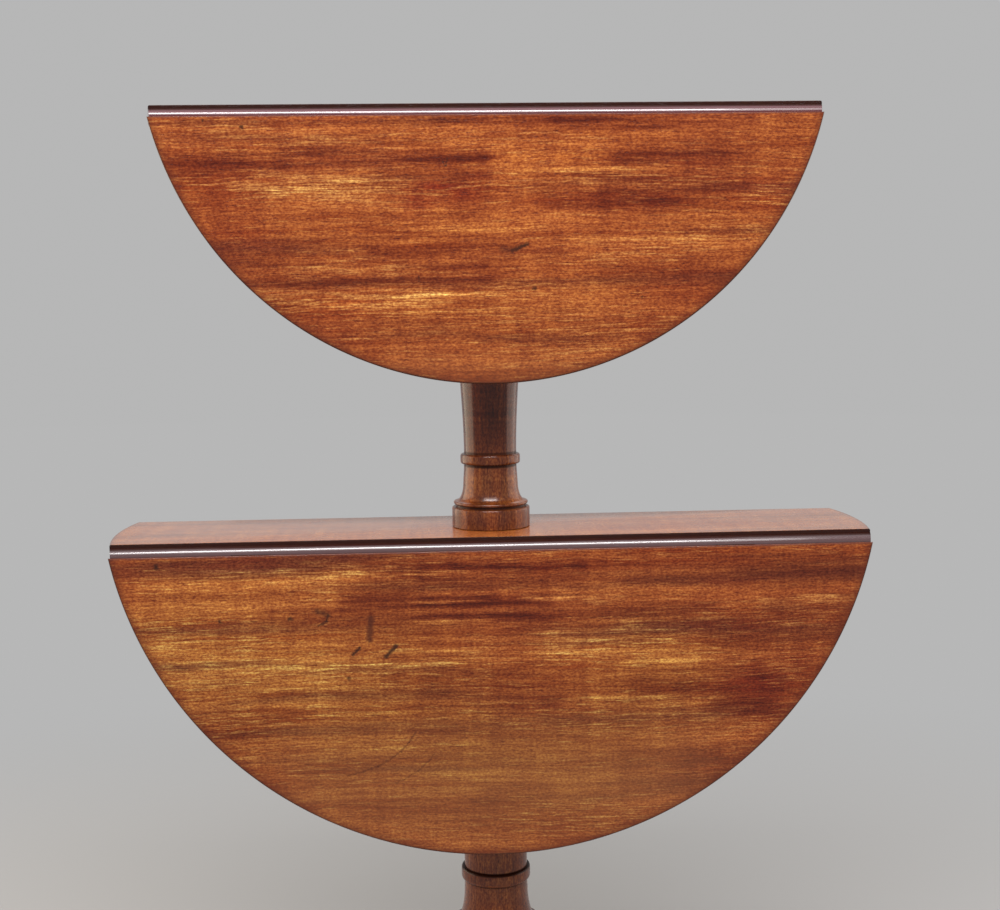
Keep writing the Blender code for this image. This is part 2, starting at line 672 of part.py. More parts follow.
def make_plate():
    """Round iron plate under the hub, which keeps the legs from spreading."""
    top = HUB_BOTTOM - GAP
    foot = top - PLATE_THICKNESS
    plate = rod("hub_plate", HUB_RADIUS - PLATE_EDGE, (0, 0, foot), (0, 0, top), COLUMN_STEPS)
    screw = screw_mesh("plate_screw", PLATE_SCREW)
    for i, (x, y) in enumerate(plate_screws()):
        hole = countersink(f"plate_hole_{i}", PLATE_SCREW, (x, y, foot), PLATE_THICKNESS)
        combine(plate, hole, "DIFFERENCE")
        paint(place(add_object(f"hub_plate_screw_{i + 1}", screw), (x, y, foot)), "iron")
    return paint(simplify(plate), "iron")


# Castors: the cap's mouth bead and boss, the fork and the axle
CAP_BEAD = dict(proud=0.0012, length=0.003)
CAP_ARRIS = 0.002
BOSS = dict(radius=0.0095, height=0.004)
STEM_RADIUS = 0.0035
FORK = dict(crown=0.0105, crown_height=0.0035, cheek=0.002, side_gap=0.0005, eye=0.0048,
            fore=0.006, aft=0.009)
AXLE = dict(radius=0.002, head=0.0034, head_length=0.0012)
CAP_TOP_GAP = CAP_WALL + GAP
CAP_FLOOR_LOW = LEG_TOE_HEIGHT - TOE_SIZE / 2 - GAP - CAP_FLOOR
SWIVEL_X = LEG_REACH + TOE_LENGTH - SWIVEL_IN
CROWN_TOP = CAP_FLOOR_LOW - BOSS["height"] - GAP
CROWN_LOW = CROWN_TOP - FORK["crown_height"]
WHEEL_HEADROOM = 0.0049
WHEEL_RADIUS = (CROWN_LOW - WHEEL_HEADROOM) / 2


def cap_mesh():
    """Brass cap over a leg's toe, with a beaded mouth and a boss for the swivel."""
    half = TOE_SIZE / 2 + CAP_TOP_GAP
    end = LEG_REACH + TOE_LENGTH + CAP_TOP_GAP
    top = LEG_TOE_HEIGHT + half
    cap = box("toe_cap", (LEG_REACH, -half, CAP_FLOOR_LOW), (end, half, top))
    soften(cap, CAP_ARRIS)
    out = half + CAP_BEAD["proud"]
    bead = box("cap_bead", (LEG_REACH, -out, CAP_FLOOR_LOW - CAP_BEAD["proud"]),
               (LEG_REACH + CAP_BEAD["length"], out, top + CAP_BEAD["proud"]), cutters)
    soften(bead, CAP_BEAD["proud"] / 2, 1)
    combine(cap, bead, "UNION")
    boss = rod("cap_boss", BOSS["radius"], (SWIVEL_X, 0, CAP_FLOOR_LOW - BOSS["height"]),
               (SWIVEL_X, 0, CAP_FLOOR_LOW + CAP_FLOOR / 2), CASTOR_STEPS, cutters)
    combine(cap, boss, "UNION")
    room = TOE_SIZE / 2 + GAP
    inside = box("cap_inside", (LEG_REACH - OVERRUN, -room, LEG_TOE_HEIGHT - room),
                 (LEG_REACH + TOE_LENGTH + GAP, room, LEG_TOE_HEIGHT + room), cutters)
    combine(cap, inside, "DIFFERENCE")
    hole = rod("cap_hole", STEM_RADIUS + GAP,
               (SWIVEL_X, 0, CAP_FLOOR_LOW - BOSS["height"] - OVERRUN),
               (SWIVEL_X, 0, LEG_TOE_HEIGHT), KNUCKLE_STEPS, cutters)
    return shared_mesh(combine(cap, hole, "DIFFERENCE"))


def fork_mesh():
    """Castor fork about its swivel: a crown, a stem with its riveted head and two cheeks."""
    rivet_low = CAP_FLOOR_LOW + CAP_FLOOR + GAP
    rivet_top = rivet_low + RIVET["height"] - GAP
    profile = [(0, rivet_top), (RIVET["radius"], rivet_top), (RIVET["radius"], rivet_low),
               (STEM_RADIUS, rivet_low), (STEM_RADIUS, CROWN_TOP), (FORK["crown"], CROWN_TOP),
               (FORK["crown"], CROWN_LOW), (0, CROWN_LOW)]
    fork = turned("castor_fork", profile, CASTOR_STEPS)
    eye = (-CASTOR_TRAIL, WHEEL_RADIUS)
    middle = (CROWN_TOP + CROWN_LOW) / 2
    rim = arc(eye, (FORK["eye"], FORK["eye"]), math.pi, FULL_TURN, 4)
    outline = [(-FORK["aft"], middle)] + rim + [(FORK["fore"], middle)]
    start = WHEEL_WIDTH / 2 + FORK["side_gap"]
    end = start + FORK["cheek"]
    for low, high in ((start, end), (-end, -start)):
        combine(fork, prism("fork_cheek", outline, low, high, "Y", cutters), "UNION")
    hole = rod("fork_hole", AXLE["radius"] + GAP, (eye[0], -end - OVERRUN, eye[1]),
               (eye[0], end + OVERRUN, eye[1]), SCREW_STEPS, cutters)
    return shared_mesh(combine(fork, hole, "DIFFERENCE"))


def axle_mesh():
    """Axle with a riveted head outside each cheek, along Z."""
    neck = WHEEL_WIDTH / 2 + FORK["side_gap"] + FORK["cheek"] + GAP
    end = neck + AXLE["head_length"]
    profile = [(0, end), (AXLE["head"], end), (AXLE["head"], neck), (AXLE["radius"], neck),
               (AXLE["radius"], -neck), (AXLE["head"], -neck), (AXLE["head"], -end), (0, -end)]
    return shared_mesh(turned("castor_axle", profile, SCREW_STEPS))


WHEEL = dict(crown=0.0008, dish=0.0018)
WHEEL_RIM_share = 0.27
WHEEL_BOSS_share = 0.33


def wheel_mesh():
    """Castor wheel with a crowned tread and dished sides, along Z."""
    half = WHEEL_WIDTH / 2
    bore = AXLE["radius"] + GAP
    edge = WHEEL_RADIUS - WHEEL["crown"]
    rim = WHEEL_RADIUS * (1 - WHEEL_RIM_share)
    boss = WHEEL_RADIUS * WHEEL_BOSS_share
    dish = half - WHEEL["dish"]
    side = [(bore, half), (boss, half), (boss + WHEEL["dish"], dish), (rim, dish),
            (rim + WHEEL["dish"] / 2, half), (edge, half - WHEEL["crown"])]
    profile = side + [(WHEEL_RADIUS, 0)] + [(r, -z) for r, z in reversed(side)]
    return shared_mesh(turned("castor_wheel", profile, CASTOR_STEPS, ring=True))


def make_tripod():
    """Three legs about the hub, each with its cap castor."""
    leg, cap, fork = leg_mesh(), cap_mesh(), fork_mesh()
    axle, wheel = axle_mesh(), wheel_mesh()
    for i in range(LEG_COUNT):
        pivot = bpy.data.objects.new(f"leg_{i + 1}_pivot", None)
        parts.objects.link(pivot)
        pivot.rotation_euler = (0, 0, FULL_TURN * i / LEG_COUNT)
        hub = (SWIVEL_X - CASTOR_TRAIL, 0, WHEEL_RADIUS)
        paint(place(add_object(f"leg_{i + 1}", leg), (0, 0, 0), parent=pivot), "column_wood")
        paint(place(add_object(f"toe_cap_{i + 1}", cap), (0, 0, 0), parent=pivot), "brass")
        swivel = place(add_object(f"castor_fork_{i + 1}", fork), (SWIVEL_X, 0, 0), parent=pivot)
        paint(swivel, "brass")
        for name, mesh in ((f"castor_axle_{i + 1}", axle), (f"castor_wheel_{i + 1}", wheel)):
            spin = place(add_object(name, mesh), hub, (QUARTER, 0, 0), pivot)
            paint(spin, "iron" if "axle" in name else "brass")


def make_table():
    """Builds the whole table from its sub-parts."""
    pivot_screw = screw_mesh("pivot_screw", PIVOT_SCREW)
    block_screw = screw_mesh("block_screw", BLOCK_SCREW)
    board_flap, leaf_flap = fixed_flap_mesh(), leaf_flap_mesh()
    for key, tier in TIERS.items():
        make_board(key, tier, board_pilots(tier))
        for side in (-1, 1):
            make_leaf(key, side, tier)
        make_hinges(key, tier, board_flap, leaf_flap)
        make_block(key, tier, block_screw)
        make_bearers(key, tier, pivot_screw)
    make_upper_column()
    make_lower_column()
    make_plate()
    make_tripod()


make_table()
cutters.hide_render = True
for obj in parts.objects:
    if obj.type == "MESH":
        obj.data.shade_smooth()
        obj.data.set_sharp_from_angle(angle=math.radians(35))
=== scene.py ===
import json
import math
from functools import partial
import bmesh
import bpy
import numpy as np
from mathutils import Matrix


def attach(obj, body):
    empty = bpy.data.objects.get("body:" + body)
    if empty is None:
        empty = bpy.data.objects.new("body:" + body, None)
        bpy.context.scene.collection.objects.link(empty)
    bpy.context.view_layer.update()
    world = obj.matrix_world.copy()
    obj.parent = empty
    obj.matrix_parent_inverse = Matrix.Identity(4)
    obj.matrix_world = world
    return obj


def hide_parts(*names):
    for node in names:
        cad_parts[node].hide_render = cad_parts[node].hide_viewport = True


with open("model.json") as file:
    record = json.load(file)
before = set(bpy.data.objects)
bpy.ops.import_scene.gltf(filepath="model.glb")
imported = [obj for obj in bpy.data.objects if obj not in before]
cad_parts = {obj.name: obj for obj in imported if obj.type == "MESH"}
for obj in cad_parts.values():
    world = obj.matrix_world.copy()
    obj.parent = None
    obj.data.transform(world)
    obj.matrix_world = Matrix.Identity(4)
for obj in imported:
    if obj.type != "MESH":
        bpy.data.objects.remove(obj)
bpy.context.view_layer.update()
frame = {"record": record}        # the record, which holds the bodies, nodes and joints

# Two-tier drop-leaf dumbwaiter table, in metres, in the frame of the imported model
bodyOf = {node: body for body, nodes in frame["record"]["behaviour"]["bodies"].items()
          for node in nodes}
print("frame loaded:", len(bodyOf), "nodes")

joint = dict(line=0.064, pinDepth=0.010, fillet=0.003, ovolo=0.007, cove=0.0074, gap=0.0003,
             thickness=0.014, rimArris=0.0015, edgeArris=0.0005)
tiers = {
    "lower": dict(radius=0.330, top=0.620, block=0.075, bearer=0.100),
    "upper": dict(radius=0.2855, top=0.982, block=0.065, bearer=0.085),
}
gap, quarter = joint["gap"], math.pi / 2
pole = 0.0005            # radius left open at the middle of a turned piece, closed by a flat face
thirds = [math.tau * i / 3 for i in range(3)]
leafSides, hands = ((-1, "front"), (1, "back")), ((-1, "left"), (1, "right"))


# Shells: points, the corners of all faces, corners per face, and which faces are smooth
def gridQuads(rows, cols, closed=False):
    # quads between neighbouring rings; closed joins the last ring to the first as well
    row, col = np.meshgrid(np.arange(rows if closed else rows - 1), np.arange(cols), indexing="ij")
    up, right = (row + 1) % rows, (col + 1) % cols
    return np.stack([row * cols + col, row * cols + right, up * cols + right, up * cols + col],
                    -1).reshape(-1, 4)


def ringsShell(rings):
    # surface through a stack of closed rings, quads between them and a flat face on each end
    rows, cols = rings.shape[:2]
    quads = gridQuads(rows, cols).ravel()
    ends = np.concatenate([np.arange(cols)[::-1], (rows - 1) * cols + np.arange(cols)])
    sizes = np.array([4] * (len(quads) // 4) + [cols, cols])
    smooth = np.arange(len(sizes)) < len(sizes) - 2
    return rings.reshape(-1, 3), np.concatenate([quads, ends]), sizes, smooth


def around(radius, height, steps):
    # each point of a profile carried round Z: (r cos a, r sin a, z)
    angle = np.arange(steps) * math.tau / steps
    return np.stack([np.outer(radius, np.cos(angle)), np.outer(radius, np.sin(angle)),
                     np.repeat(np.reshape(height, (-1, 1)), steps, 1)], -1)


def turnedShell(profile, steps=64):
    # radius and height of the profile, carried round Z
    return ringsShell(around(*np.array(profile, float).T, steps))


def lengthOf(vectors):
    return np.linalg.norm(vectors, axis=-1, keepdims=True)


def unit(vectors):
    return vectors / lengthOf(vectors)


def plateShell(outline, thickness, arris):
    # flat outline carried through the thickness, drawn in by the arris at both faces
    flat = np.array(outline, float)
    along = unit(unit(np.roll(flat, -1, 0) - flat) + unit(flat - np.roll(flat, 1, 0)))
    inward = np.stack([-along[:, 1], along[:, 0]], -1)
    turn = np.linspace(0, quarter, 4)
    pull = arris * (1 - np.sin(turn))
    rise = thickness / 2 - arris * (1 - np.cos(turn))
    pull, rise = np.concatenate([pull, pull[::-1]]), np.concatenate([-rise, rise[::-1]])
    places = flat[None] + inward[None] * pull[:, None, None]
    rise = np.broadcast_to(rise[:, None, None], (*places.shape[:2], 1))
    return ringsShell(np.concatenate([places, rise], -1))


largestCorner = 0.98      # share of a section's half width or half height


def barShell(stations, corner, steps=6):
    # rounded box section (half width, low, high) carried along X, one row per station
    x, half, low, high = (column[:, None] for column in np.array(stations, float).T)
    corner = np.minimum(corner, np.minimum(half, (high - low) / 2) * largestCorner)
    turn = np.concatenate([np.linspace(a, a + quarter, steps) for a in np.arange(4) * quarter])
    east, north = np.repeat([1, -1, -1, 1], steps), np.repeat([1, 1, -1, -1], steps)
    y = east * (half - corner) + corner * np.cos(turn)
    z = (low + high) / 2 + north * ((high - low) / 2 - corner) + corner * np.sin(turn)
    return ringsShell(np.stack([np.broadcast_to(x, y.shape), y, z], -1))


def alongX(outline, half):
    # a Y-Z outline carried along X between two ends
    flat = np.array(outline, float)
    return ringsShell(np.stack([np.concatenate([np.full((len(flat), 1), x), flat], 1)
                                for x in (-half, half)]))


def boxShell(half, low, high):
    # box along X between two corners in Y and Z
    return alongX([low, (high[0], low[1]), high, (low[0], high[1])], half)


def bezier(start, bend, end, t):
    # quadratic curve: (1 - t)^2 start + 2 t (1 - t) bend + t^2 end
    start, bend, end = np.array(start), np.array(bend), np.array(end)
    return (1 - t) ** 2 * start + 2 * t * (1 - t) * bend + t ** 2 * end


def bow(centre, size, start, end, count=14):
    # points on an ellipse from one angle to another
    t = np.linspace(start, end, count)
    return np.stack([centre[0] + size[0] * np.cos(t), centre[1] + size[1] * np.sin(t)], -1)


def moved(shell, turn=np.eye(3), shift=(0, 0, 0)):
    # turned by a 3 x 3 matrix about the origin, then shifted
    return (shell[0] @ np.asarray(turn, float).T + np.array(shift, float), *shell[1:])


def spun(angle, axis="Z"):
    return np.array(Matrix.Rotation(angle, 3, axis))


def meshFrom(name, shells):
    # one mesh from several shells, with every face pointing outwards
    starts = np.cumsum([0] + [len(shell[0]) for shell in shells])
    points, sizes, smooth = (np.concatenate([shell[i] for shell in shells]) for i in (0, 2, 3))
    corners = np.concatenate([shell[1] + start for shell, start in zip(shells, starts)])
    mesh = bpy.data.meshes.new(name)
    mesh.vertices.add(len(points))
    mesh.vertices.foreach_set("co", points.astype(np.float32).ravel())
    mesh.loops.add(len(corners))
    mesh.loops.foreach_set("vertex_index", corners.astype(np.int32))
    mesh.polygons.add(len(sizes))
    mesh.polygons.foreach_set("loop_start", (np.cumsum(sizes) - sizes).astype(np.int32))
    mesh.polygons.foreach_set("use_smooth", smooth)
    mesh.update(calc_edges=True)
    work = bmesh.new()
    work.from_mesh(mesh)
    bmesh.ops.recalc_face_normals(work, faces=work.faces)
    work.to_mesh(mesh)
    work.free()
    return mesh


def newObject(name, data):
    made = bpy.data.objects.new(name, data)
    bpy.context.scene.collection.objects.link(made)
    return made


def cutMesh(mesh, tools):
    # the mesh less each of the tools
    piece = newObject(mesh.name, mesh)
    cutters = [newObject("cutter", meshFrom("cutter", [tool])) for tool in tools]
    for cutter in cutters:
        cutter.hide_render = True
        cut = piece.modifiers.new("cut", "BOOLEAN")
        cut.operation, cut.solver, cut.object = "DIFFERENCE", "EXACT", cutter
    result = bpy.data.meshes.new_from_object(
        piece.evaluated_get(bpy.context.evaluated_depsgraph_get()))
    for used in [piece] + cutters:
        bpy.data.objects.remove(used)
    return result


def shellOf(mesh):
    # arrays of a finished mesh, so that it can be repeated elsewhere
    arrays = []
    for part, name, kind in ((mesh.loops, "vertex_index", np.int32),
                             (mesh.polygons, "loop_total", np.int32),
                             (mesh.polygons, "use_smooth", bool)):
        arrays.append(np.empty(len(part), kind))
        part.foreach_get(name, arrays[-1])
    points = np.empty(len(mesh.vertices) * 3)
    mesh.vertices.foreach_get("co", points)
    return points.reshape(-1, 3), *arrays


def dress(node, shells, material, tools=(), grain=None):
    # makes the piece that stands for a node, on the node's body
    first, *others = node.split("_")
    name = first + "".join(word.capitalize() for word in others)
    mesh = meshFrom(name, shells)
    if tools:
        mesh = cutMesh(mesh, tools)
    if grain is not None:
        place = mesh.attributes.new("grainPlace", "FLOAT_VECTOR", "POINT")
        place.data.foreach_set("vector", grain.astype(np.float32).ravel())
    mesh.name = name
    mesh.materials.clear()
    mesh.materials.append(material)
    mesh.set_sharp_from_angle(angle=math.radians(38))
    piece = newObject(name, mesh)
    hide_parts(node)
    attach(piece, bodyOf[node])


def aimed(item, place, right, over, behind):
    # the item's X, Y and Z along three directions, its origin at the place
    axes = np.eye(4)
    axes[:3] = np.stack([right, over, behind, place], -1)
    item.matrix_world = Matrix(axes.tolist())


# Camera at the photograph's angle
photoCamera = dict(place=(-0.05905, -1.32972, 0.82492), yaw=0.05096, pitch=0.10626,
                   roll=-0.01333, focalPixels=1507.88, frameWidth=1000, sensor=36)


def makeCamera(view):
    # axes from yaw about Z, pitch below the horizon and roll about the line of sight
    yaw, pitch, roll = view["yaw"], view["pitch"], view["roll"]
    ahead = np.array([math.sin(yaw) * math.cos(pitch), math.cos(yaw) * math.cos(pitch),
                      -math.sin(pitch)])
    level = np.array([math.cos(yaw), -math.sin(yaw), 0])
    over = np.cross(level, ahead)
    camera = newObject("camera", bpy.data.cameras.new("camera"))
    camera.data.sensor_width = view["sensor"]
    camera.data.lens = view["focalPixels"] / view["frameWidth"] * view["sensor"]
    aimed(camera, view["place"], math.cos(roll) * level + math.sin(roll) * over,
          math.cos(roll) * over - math.sin(roll) * level, -ahead)
    bpy.context.scene.camera = camera


makeCamera(photoCamera)
bpy.context.scene.view_settings.view_transform = "Standard"
print("camera placed")


# Small helpers for node trees
def treeOf(*values):
    # the tree that the first socket among the values is in
    return next(value.id_data for value in values if isinstance(value, bpy.types.NodeSocket))


def feed(made, sockets):
    # links each socket in, and sets anything else as the input's own value
    for key, value in sockets.items():
        if isinstance(value, bpy.types.NodeSocket):
            value.id_data.links.new(value, made.inputs[key])
        else:
            made.inputs[key].default_value = value
    return made


def addNode(tree, kind, sockets=None, **settings):
    made = tree.nodes.new("ShaderNode" + kind)
    for name, value in settings.items():
        setattr(made, name, value)
    return feed(made, sockets or {})


def grouped(group, sockets):
    return addNode(treeOf(*sockets.values()), "Group", sockets, node_tree=group).outputs


def calc(operation, total, *values):
    # math on the first two values, then on that result and the next
    tree = treeOf(total, *values)
    for value in values or (0.0,):
        total = addNode(tree, "Math", {0: total, 1: value}, operation=operation).outputs[0]
    return total


plus, less, times, most, least, absolute = (
    partial(calc, kind) for kind in ("ADD", "SUBTRACT", "MULTIPLY", "MAXIMUM", "MINIMUM", "ABSOLUTE"))


def vector(operation, *values):
    # vector math; products, distances and lengths come out as one value
    made = addNode(treeOf(*values), "VectorMath", dict(enumerate(values)), operation=operation)
    return made.outputs["Value" if operation in ("DOT_PRODUCT", "DISTANCE", "LENGTH") else "Vector"]


def stretched(given, share):
    return addNode(given.id_data, "VectorMath", {0: given, "Scale": share},
                   operation="SCALE").outputs[0]


def combined(tree, **axes):
    return addNode(tree, "CombineXYZ", axes).outputs[0]


def ramped(value, low, high, start=0.0, end=1.0):
    # smooth step of the value from low to high, read out from start to end
    return addNode(value.id_data, "MapRange", {"Value": value, "From Min": low, "From Max": high,
                                               "To Min": start, "To Max": end},
                   interpolation_type="SMOOTHSTEP").outputs[0]


def noiseOf(given, waves, detail=2.0, rough=0.5, twist=0.0, output=0):
    # noise with its own number of waves per metre along X, Y and Z
    return addNode(given.id_data, "TexNoise", {
        "Vector": vector("MULTIPLY", given, waves), "Scale": 1.0, "Detail": detail,
        "Roughness": rough, "Distortion": twist}).outputs[output]


def blended(factor, first, second, kind="MIX"):
    return addNode(treeOf(factor, first, second), "Mix", {0: factor, 6: first, 7: second},
                   data_type="RGBA", blend_type=kind, clamp_factor=True).outputs[2]


def newGroup(name, inputs, outputs):
    # inputs with their first values: one number, three for a place or four for a colour
    tree = bpy.data.node_groups.new(name, "ShaderNodeTree")
    for label, value in inputs.items():
        kind = "Float" if isinstance(value, float) else {3: "Vector", 4: "Color"}[len(value)]
        tree.interface.new_socket(label, in_out="INPUT",
                                  socket_type="NodeSocket" + kind).default_value = value
    for label in outputs:
        kind = "Color" if label == "Color" else "Float"
        tree.interface.new_socket(label, in_out="OUTPUT", socket_type="NodeSocket" + kind)
    return tree.nodes.new("NodeGroupInput").outputs, tree.nodes.new("NodeGroupOutput")


# Wood with its grain along X. Waves per metre along X, Y and Z, detail and roughness of each part
stillWaves = dict(sway=((2.6, 5.0, 5.0), 2), kink=((46, 60, 60), 2), stain=((8, 17, 17), 3),
                  cluster=((4.5, 22, 22), 3), mottle=((400, 640, 640), 2, 0.6),
                  ripple=((120, 12, 12), 1))
flowWaves = dict(bands=((2.4, 36, 36), 3, 0.6), middles=((4.5, 105, 105), 3, 0.6),
                 lines=((10, 300, 300), 3, 0.65), threads=((45, 700, 700), 2, 0.7),
                 smoke=((2.8, 48, 48), 3), streaks=((30, 640, 640), 3, 0.66),
                 pores=((120, 1300, 1300), 1))
# from and to of each smooth step, and what it gives at its two ends where that isn't 0 and 1
figureSteps = dict(share=(0.36, 0.64), smoke=(0.58, 0.84), stain=(0.44, 0.68), cluster=(0.38, 0.66),
                   streaks=(0.60, 0.78), pores=(0.60, 0.70), threads=(0.30, 0.70, 0.82, 1.18),
                   mottle=(0.28, 0.72, 0.66, 1.36), ripple=(0.25, 0.75, 0.90, 1.10))
# how much each part counts
figureParts = dict(bands=0.36, middles=0.30, lines=0.34, sway=0.018, kink=0.0024, smoke=0.85,
                   smokeAsked=0.24, cluster=0.10, flecksAsked=0.08, streaks=0.60, smokedStreaks=0.6,
                   pores=0.45, threadHeight=0.2, seedY=1.7, seedZ=0.6)
deepening = 1.6           # green and blue fall faster in the dark grain


def makeWoodFigure():
    # bands, middles and lines mix the light and brown; smoke, stain and streaks lie over them
    given, out = newGroup("woodFigure", {
        "Vector": (0, 0, 0), "Seed": 0.0, "Smoke": 0.5, "Flecks": 0.5, "Stain": 0.3, "Tone": 1.0,
        "Light": (0.37, 0.085, 0.012, 1), "Brown": (0.24, 0.045, 0.006, 1),
        "Dark": (0.12, 0.024, 0.007, 1), "Gold": (0.56, 0.21, 0.05, 1),
        "Red": (0.20, 0.024, 0.006, 1)}, ["Color", "Height"])
    tree, seed, steps, parts = out.id_data, given["Seed"], figureSteps, figureParts
    shift = combined(tree, X=seed, Y=times(seed, parts["seedY"]), Z=times(seed, parts["seedZ"]))
    place = vector("ADD", given["Vector"], shift)
    still = {name: noiseOf(place, *waves) for name, waves in stillWaves.items()}
    warp = plus(*(times(still[name], parts[name]) for name in ("sway", "kink")))
    flow = vector("ADD", place, combined(tree, Y=warp))
    flowing = {name: noiseOf(flow, *waves) for name, waves in flowWaves.items()}
    share = plus(*(times(ramped(flowing[name], *steps["share"]), parts[name])
                   for name in ("bands", "middles", "lines")))
    smoke = plus(flowing["smoke"], times(given["Smoke"], parts["smokeAsked"]))
    smoke = times(ramped(smoke, *steps["smoke"]), parts["smoke"])
    stain = times(ramped(still["stain"], *steps["stain"]), given["Stain"])
    streaks = plus(flowing["streaks"],
                   times(ramped(still["cluster"], *steps["cluster"]), parts["cluster"]),
                   times(given["Flecks"], parts["flecksAsked"]))
    streaks = times(ramped(streaks, *steps["streaks"]), parts["streaks"],
                    less(1.0, times(smoke, parts["smokedStreaks"])))
    pores = ramped(flowing["pores"], *steps["pores"])
    colour = blended(share, given["Brown"], given["Light"])
    for amount, name in ((smoke, "Dark"), (stain, "Red"), (streaks, "Gold")):
        colour = blended(amount, colour, given[name])
    tone = times(ramped(flowing["threads"], *steps["threads"]),
                 ramped(still["mottle"], *steps["mottle"]), given["Tone"],
                 ramped(still["ripple"], *steps["ripple"]), less(1.0, times(pores, parts["pores"])))
    deep = calc("POWER", tone, deepening)
    grey = addNode(tree, "CombineColor", {0: tone, 1: deep, 2: deep}).outputs[0]
    return feed(out, {"Color": blended(1.0, colour, grey, "MULTIPLY"),
                      "Height": less(times(flowing["threads"], parts["threadHeight"]), pores)
                      }).id_data


def makePolishFilm():
    # French polish: smudges and fine scratches in the film
    given, out = newGroup("polishFilm", {"Vector": (0, 0, 0), "Gloss": 0.22, "Dull": 0.42},
                          ["Roughness", "Height"])
    place = given["Vector"]
    smudge = ramped(noiseOf(place, (9, 9, 9), 4, 0.6), 0.42, 0.72)
    scratch = ramped(noiseOf(place, (30, 420, 420), 2, 0.6, 0.6), 0.66, 0.70)
    rough = addNode(out.id_data, "MapRange", {"Value": most(smudge, times(scratch, 0.6)),
                                              "To Min": given["Gloss"], "To Max": given["Dull"]})
    return feed(out, {"Roughness": rough.outputs[0],
                      "Height": less(noiseOf(place, (38, 60, 38)), times(scratch, 0.05))}).id_data


def makeMark():
    # soft capsule from a start to an end, and how far the place is from either end
    given, out = newGroup("mark", {"Vector": (0, 0, 0), "Start": (0, 0, 0), "End": (0, 0, 0.01),
                                   "Half Width": 0.001, "Soft": 0.001}, ["Mask", "Taper"])
    reach, line = (vector("SUBTRACT", given[name], given["Start"]) for name in ("Vector", "End"))
    share = calc("DIVIDE", vector("DOT_PRODUCT", reach, line), vector("DOT_PRODUCT", line, line))
    share = least(most(share, 0.0), 1.0)
    off = vector("DISTANCE", reach, stretched(line, share))
    half, soft = given["Half Width"], given["Soft"]
    return feed(out, {"Mask": ramped(off, less(half, soft), plus(half, soft), 1.0, 0.0),
                      "Taper": ramped(least(share, less(1.0, share)), 0.0, 0.35)}).id_data


def makeRimShade():
    # nearness to a round edge about the origin in the X-Y plane
    given, out = newGroup("rimShade", {"Vector": (0, 0, 0), "Radius": 0.3, "Width": 0.006}, ["Mask"])
    reach = vector("LENGTH", vector("MULTIPLY", given["Vector"], (1, 1, 0)))
    wander = plus(noiseOf(given["Vector"], (22, 22, 22)), 0.6)
    inner = less(given["Radius"], times(given["Width"], wander))
    return feed(out, {"Mask": ramped(reach, inner, given["Radius"])}).id_data


def makeAgedMetal():
    # mottled tarnish, fine scratches and pits
    given, out = newGroup("agedMetal", {
        "Vector": (0, 0, 0), "Bright": (0.7, 0.48, 0.2, 1), "Tarnish": (0.2, 0.13, 0.06, 1),
        "Amount": 0.5}, ["Color", "Roughness", "Height"])
    place = given["Vector"]
    blotch = ramped(noiseOf(place, (70, 70, 70), 5, 0.65), 0.38, 0.68)
    pit = ramped(noiseOf(place, (900, 900, 900)), 0.60, 0.70)
    scratch = noiseOf(place, (1500, 160, 700))
    cover = times(most(blotch, pit), given["Amount"])
    return feed(out, {"Color": blended(cover, given["Bright"], given["Tarnish"]),
                      "Roughness": plus(times(cover, 0.35), times(scratch, 0.16), 0.14),
                      "Height": less(times(scratch, 0.3), pit)}).id_data


woodFigure, polishFilm, mark = makeWoodFigure(), makePolishFilm(), makeMark()
rimShade, agedMetal = makeRimShade(), makeAgedMetal()


def newMaterial(name):
    material = bpy.data.materials.new(name)
    material.use_nodes = True
    return material, material.node_tree, material.node_tree.nodes["Principled BSDF"]


def objectPlace(tree):
    return addNode(tree, "TexCoord").outputs["Object"]


def turnedPlace(tree, rotation=(0, 0, 0), location=(0, 0, 0)):
    # object coordinates, turned and centred for the pattern
    return addNode(tree, "Mapping", {"Vector": objectPlace(tree), "Rotation": rotation,
                                     "Location": location}, vector_type="POINT").outputs[0]


woods = {
    "leaf": dict(light=(0.42, 0.112, 0.024), brown=(0.175, 0.022, 0.003), dark=(0.100, 0.016, 0.006),
                 gold=(0.54, 0.215, 0.055), red=(0.185, 0.017, 0.004)),
    "strip": dict(light=(0.50, 0.150, 0.032), brown=(0.33, 0.080, 0.014), dark=(0.18, 0.040, 0.011),
                  gold=(0.58, 0.25, 0.072), red=(0.27, 0.050, 0.012)),
    "column": dict(light=(0.20, 0.048, 0.010), brown=(0.105, 0.022, 0.005), dark=(0.034, 0.008, 0.004),
                   gold=(0.27, 0.080, 0.017), red=(0.12, 0.016, 0.005)),
    "bearer": dict(light=(0.26, 0.15, 0.075), brown=(0.17, 0.09, 0.045), dark=(0.08, 0.04, 0.022),
                   gold=(0.36, 0.22, 0.12), red=(0.15, 0.07, 0.035)),
}
tones = dict(       # of marks, the painted reflection of the floor, the joint's edges, and factors for the olive and gold
    ink=(0.030, 0.008, 0.004), bruise=(0.070, 0.014, 0.006), haze=(0.27, 0.100, 0.036),
    olive=(1.0, 1.42, 1.32), thread=(1.75, 2.55, 2.7), fillet=(0.021, 0.005, 0.004),
    # lower: the lower ovolo's tone, a painted lilac reflection of the lamps and backdrop
    lip=(0.120, 0.036, 0.024), lower=(0.088, 0.046, 0.050), upper=(0.082, 0.009, 0.016))
tones = {name: (*tone, 1) for name, tone in tones.items()}
